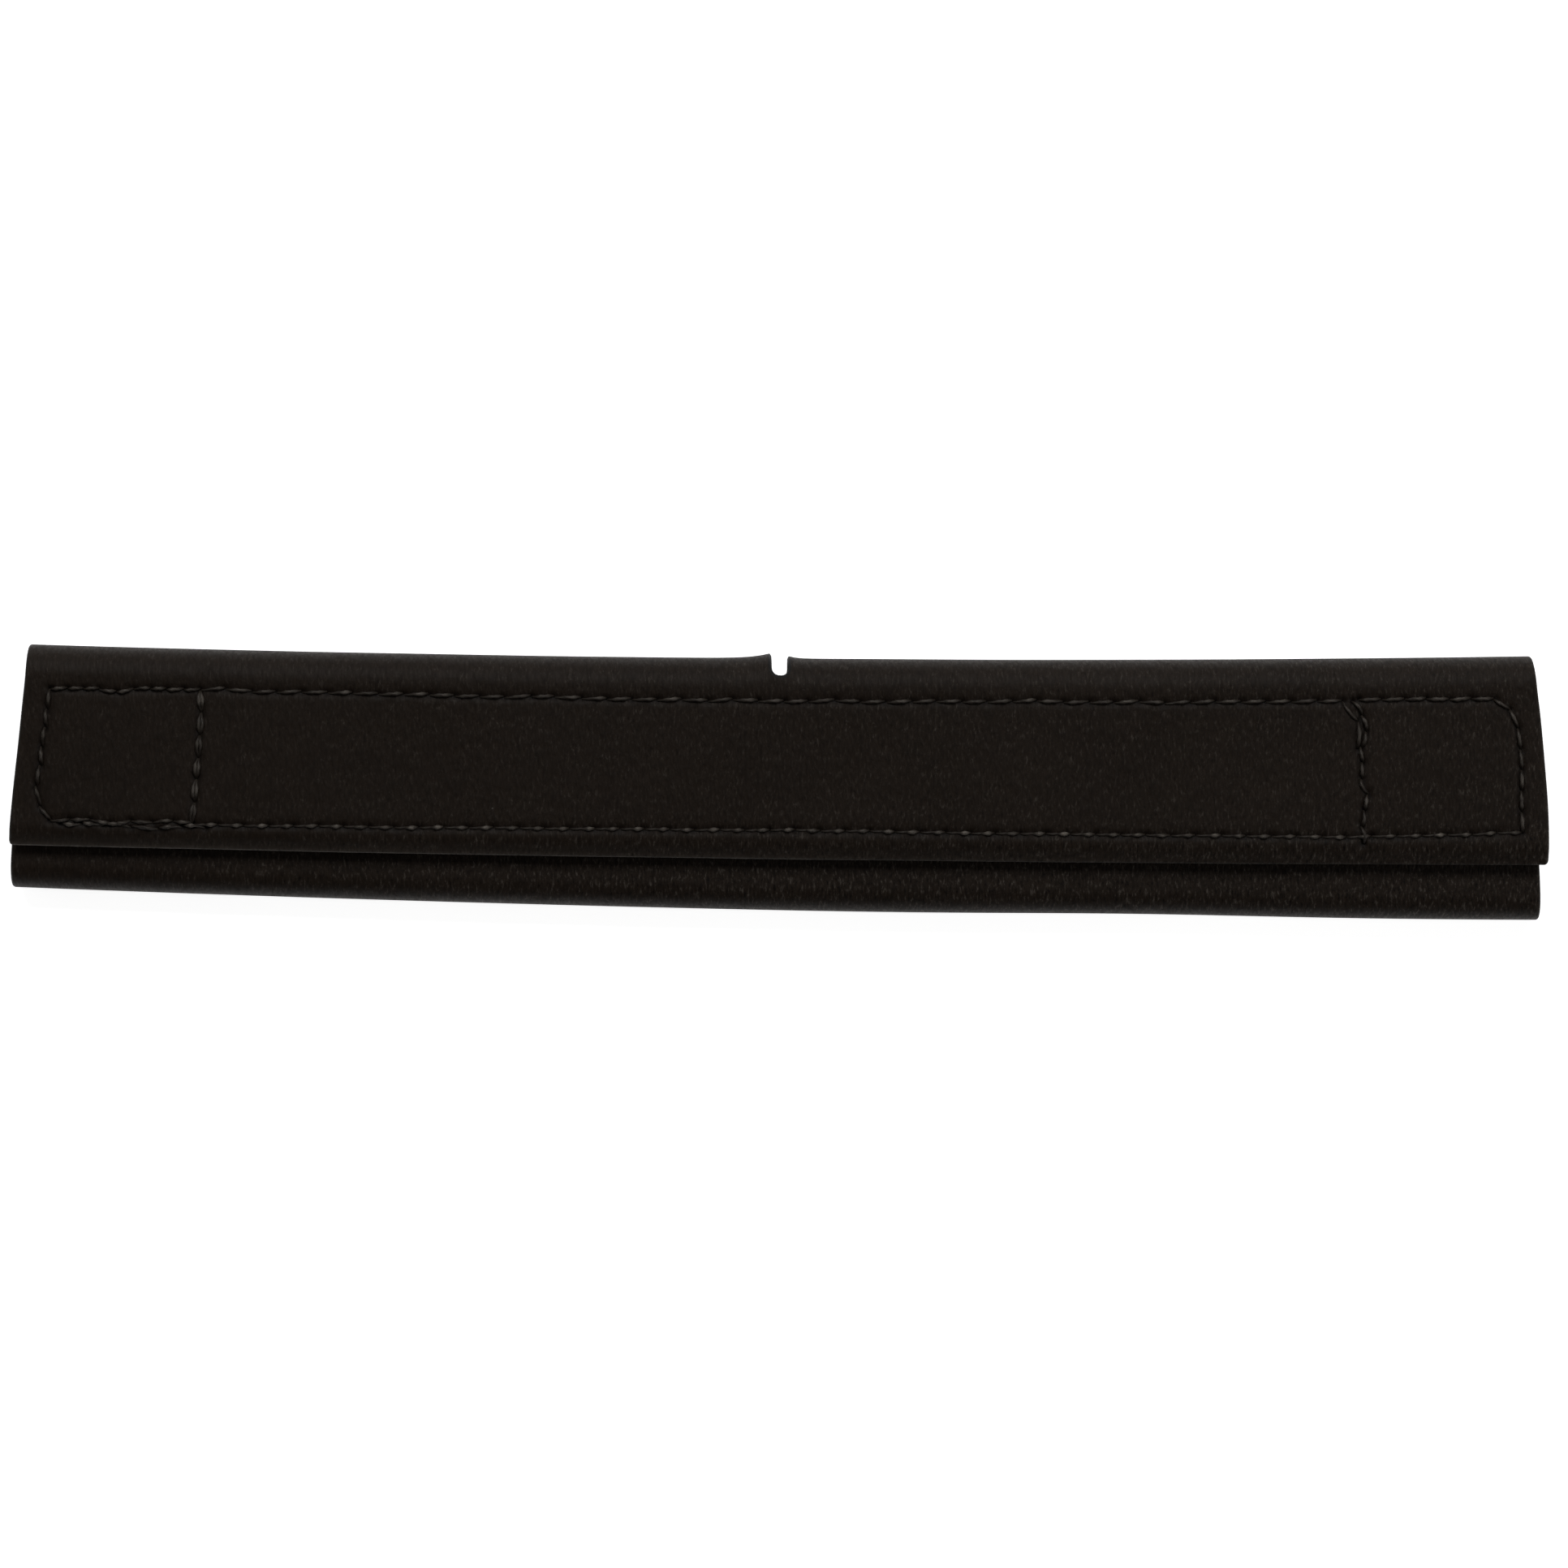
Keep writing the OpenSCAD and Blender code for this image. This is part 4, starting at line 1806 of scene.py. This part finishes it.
    def loops(self) -> None:
        """The mat of fine loops on the lip."""
        low, high = (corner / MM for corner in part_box("loop_pile"))
        rng = np.random.default_rng(41)
        x = rng.uniform(low.x + 0.6, high.x - 0.6, self.loop_count)
        s = rng.uniform(self.blank.lip_s(high.y) + 0.4, self.blank.lip_s(low.y) - 0.4, self.loop_count)
        turn = rng.uniform(0, math.pi, self.loop_count)
        reach = rng.uniform(*self.loop_reach, self.loop_count)
        tall = rng.uniform(*self.loop_tall, self.loop_count) * self.blank.layout.loop_h
        t = np.linspace(0, 1, self.LOOP_RINGS)
        along = (t - 0.5)[None, :] * 2 * reach[:, None]
        rise = np.sin(math.pi * t)[None, :] ** 0.7 * tall[:, None] - 0.06
        base = self.blank.half_t + self.blank.layout.loop_tape_t
        lines = self.blank.place(
            x[:, None] + along * np.cos(turn)[:, None],
            s[:, None] + along * np.sin(turn)[:, None],
            base + rise,
        )
        side = np.stack([np.sin(turn), np.cos(turn), np.zeros_like(turn)], axis=-1)
        radii = np.full((len(t), self.SIDES), self.LOOP_RADIUS * MM)
        bm = Strands(self.SIDES, len(t)).sweep(lines, side, radii)
        piece = finish_piece(bm, "loop_pile_loops", [self.finishes.loops])
        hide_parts("loop_pile")
        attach(piece, Body.LIP.value)

    def build(self) -> None:
        """Makes both tapes with their hooks and loops."""
        layout, blank = self.blank.layout, self.blank
        hook_span = (blank.flap_s(layout.hook_tape[1] - 0.25), blank.flap_s(layout.hook_tape[0]))
        loop_span = (blank.lip_s(layout.loop_tape[1]), blank.lip_s(layout.loop_tape[0]))
        self.tape(
            "hook_tape_ground", "hook_tape", Body.FLAP, Face.FLESH, hook_span, layout.hook_tape_t
        )
        self.hooks()
        self.tape(
            "loop_tape_ground", "loop_tape", Body.LIP, Face.GRAIN, loop_span, layout.loop_tape_t
        )
        self.loops()


# --- Studio ---


@dataclass(frozen=True)
class Softbox:
    """A soft light that faces the sleeve, in metres and watts."""

    name: str
    place: tuple[float, float, float]
    size: tuple[float, float]
    power: float

    def build(self) -> None:
        """Hangs the light."""
        light = bpy.data.lights.new(self.name, "AREA")
        light.shape = "RECTANGLE"
        light.size, light.size_y = self.size
        light.energy = self.power
        lamp = bpy.data.objects.new(self.name, light)
        lamp.location = self.place
        lamp.rotation_euler = (-Vector(self.place)).to_track_quat("-Z", "Y").to_euler()
        bpy.context.collection.objects.link(lamp)


@dataclass(frozen=True)
class Studio:
    """A white table, soft lights all round and a camera straight above."""

    lens: float = 135.0
    sensor: float = 36.0
    clip: tuple[float, float] = (0.01, 20.0)
    view_width: float = 203.9
    focus_height: float = 8.7
    aim: tuple[float, float] = (0.69, -0.42)
    roll: float = 0.54
    floor_half: float = 3.0
    clearance: float = 0.05
    sky: float = 0.05

    def floor(self) -> None:
        """Lays the white table top."""
        bm = bmesh.new()
        bmesh.ops.create_grid(bm, x_segments=2, y_segments=2, size=self.floor_half)
        mesh = bpy.data.meshes.new("table_top")
        bm.to_mesh(mesh)
        bm.free()
        mesh.materials.append(StudioPaper().make())
        table = bpy.data.objects.new("table_top", mesh)
        table.location.z = -self.clearance * MM
        bpy.context.collection.objects.link(table)

    def camera(self) -> None:
        """Hangs the camera over the sleeve, square to the table."""
        data = bpy.data.cameras.new("camera")
        data.lens, data.sensor_width = self.lens, self.sensor
        data.clip_start, data.clip_end = self.clip
        camera = bpy.data.objects.new("camera", data)
        height = self.view_width * self.lens / self.sensor + self.focus_height
        camera.location = (self.aim[0] * MM, self.aim[1] * MM, height * MM)
        camera.rotation_euler = (0, 0, math.radians(self.roll))
        bpy.context.collection.objects.link(camera)
        bpy.context.scene.camera = camera

    def lights(self) -> None:
        """Sets the sky and hangs the softboxes."""
        world = bpy.data.worlds.new("studio")
        world.use_nodes = True
        world.node_tree.nodes["Background"].inputs["Strength"].default_value = self.sky
        bpy.context.scene.world = world
        for softbox in (
            Softbox("top_side_light", (0.0, 0.8, 0.95), (1.2, 0.5), 10.0),
            Softbox("bottom_side_light", (0.0, -0.95, 0.75), (1.3, 0.6), 0.1),
            Softbox("left_light", (-1.0, 0.3, 0.75), (0.6, 1.0), 1.0),
            Softbox("right_light", (1.0, -0.2, 0.75), (0.6, 0.6), 3.4),
        ):
            softbox.build()

    def build(self) -> None:
        """Sets the studio up."""
        bpy.context.scene.view_settings.view_transform = "Standard"
        self.floor()
        self.camera()
        self.lights()


def main() -> None:
    """Builds the studio and the sleeve."""
    logging.basicConfig(level=logging.INFO, format="%(name)s: %(message)s")
    Studio().build()
    blank = Blank(Layout.from_frame())
    stitching = Stitching(blank)
    finishes = Finishes.make()
    Leather(blank, stitching, finishes).build()
    Closure(blank, stitching, finishes).build()
    stitching.build(finishes.thread)


if __name__ == "__main__":
    main()
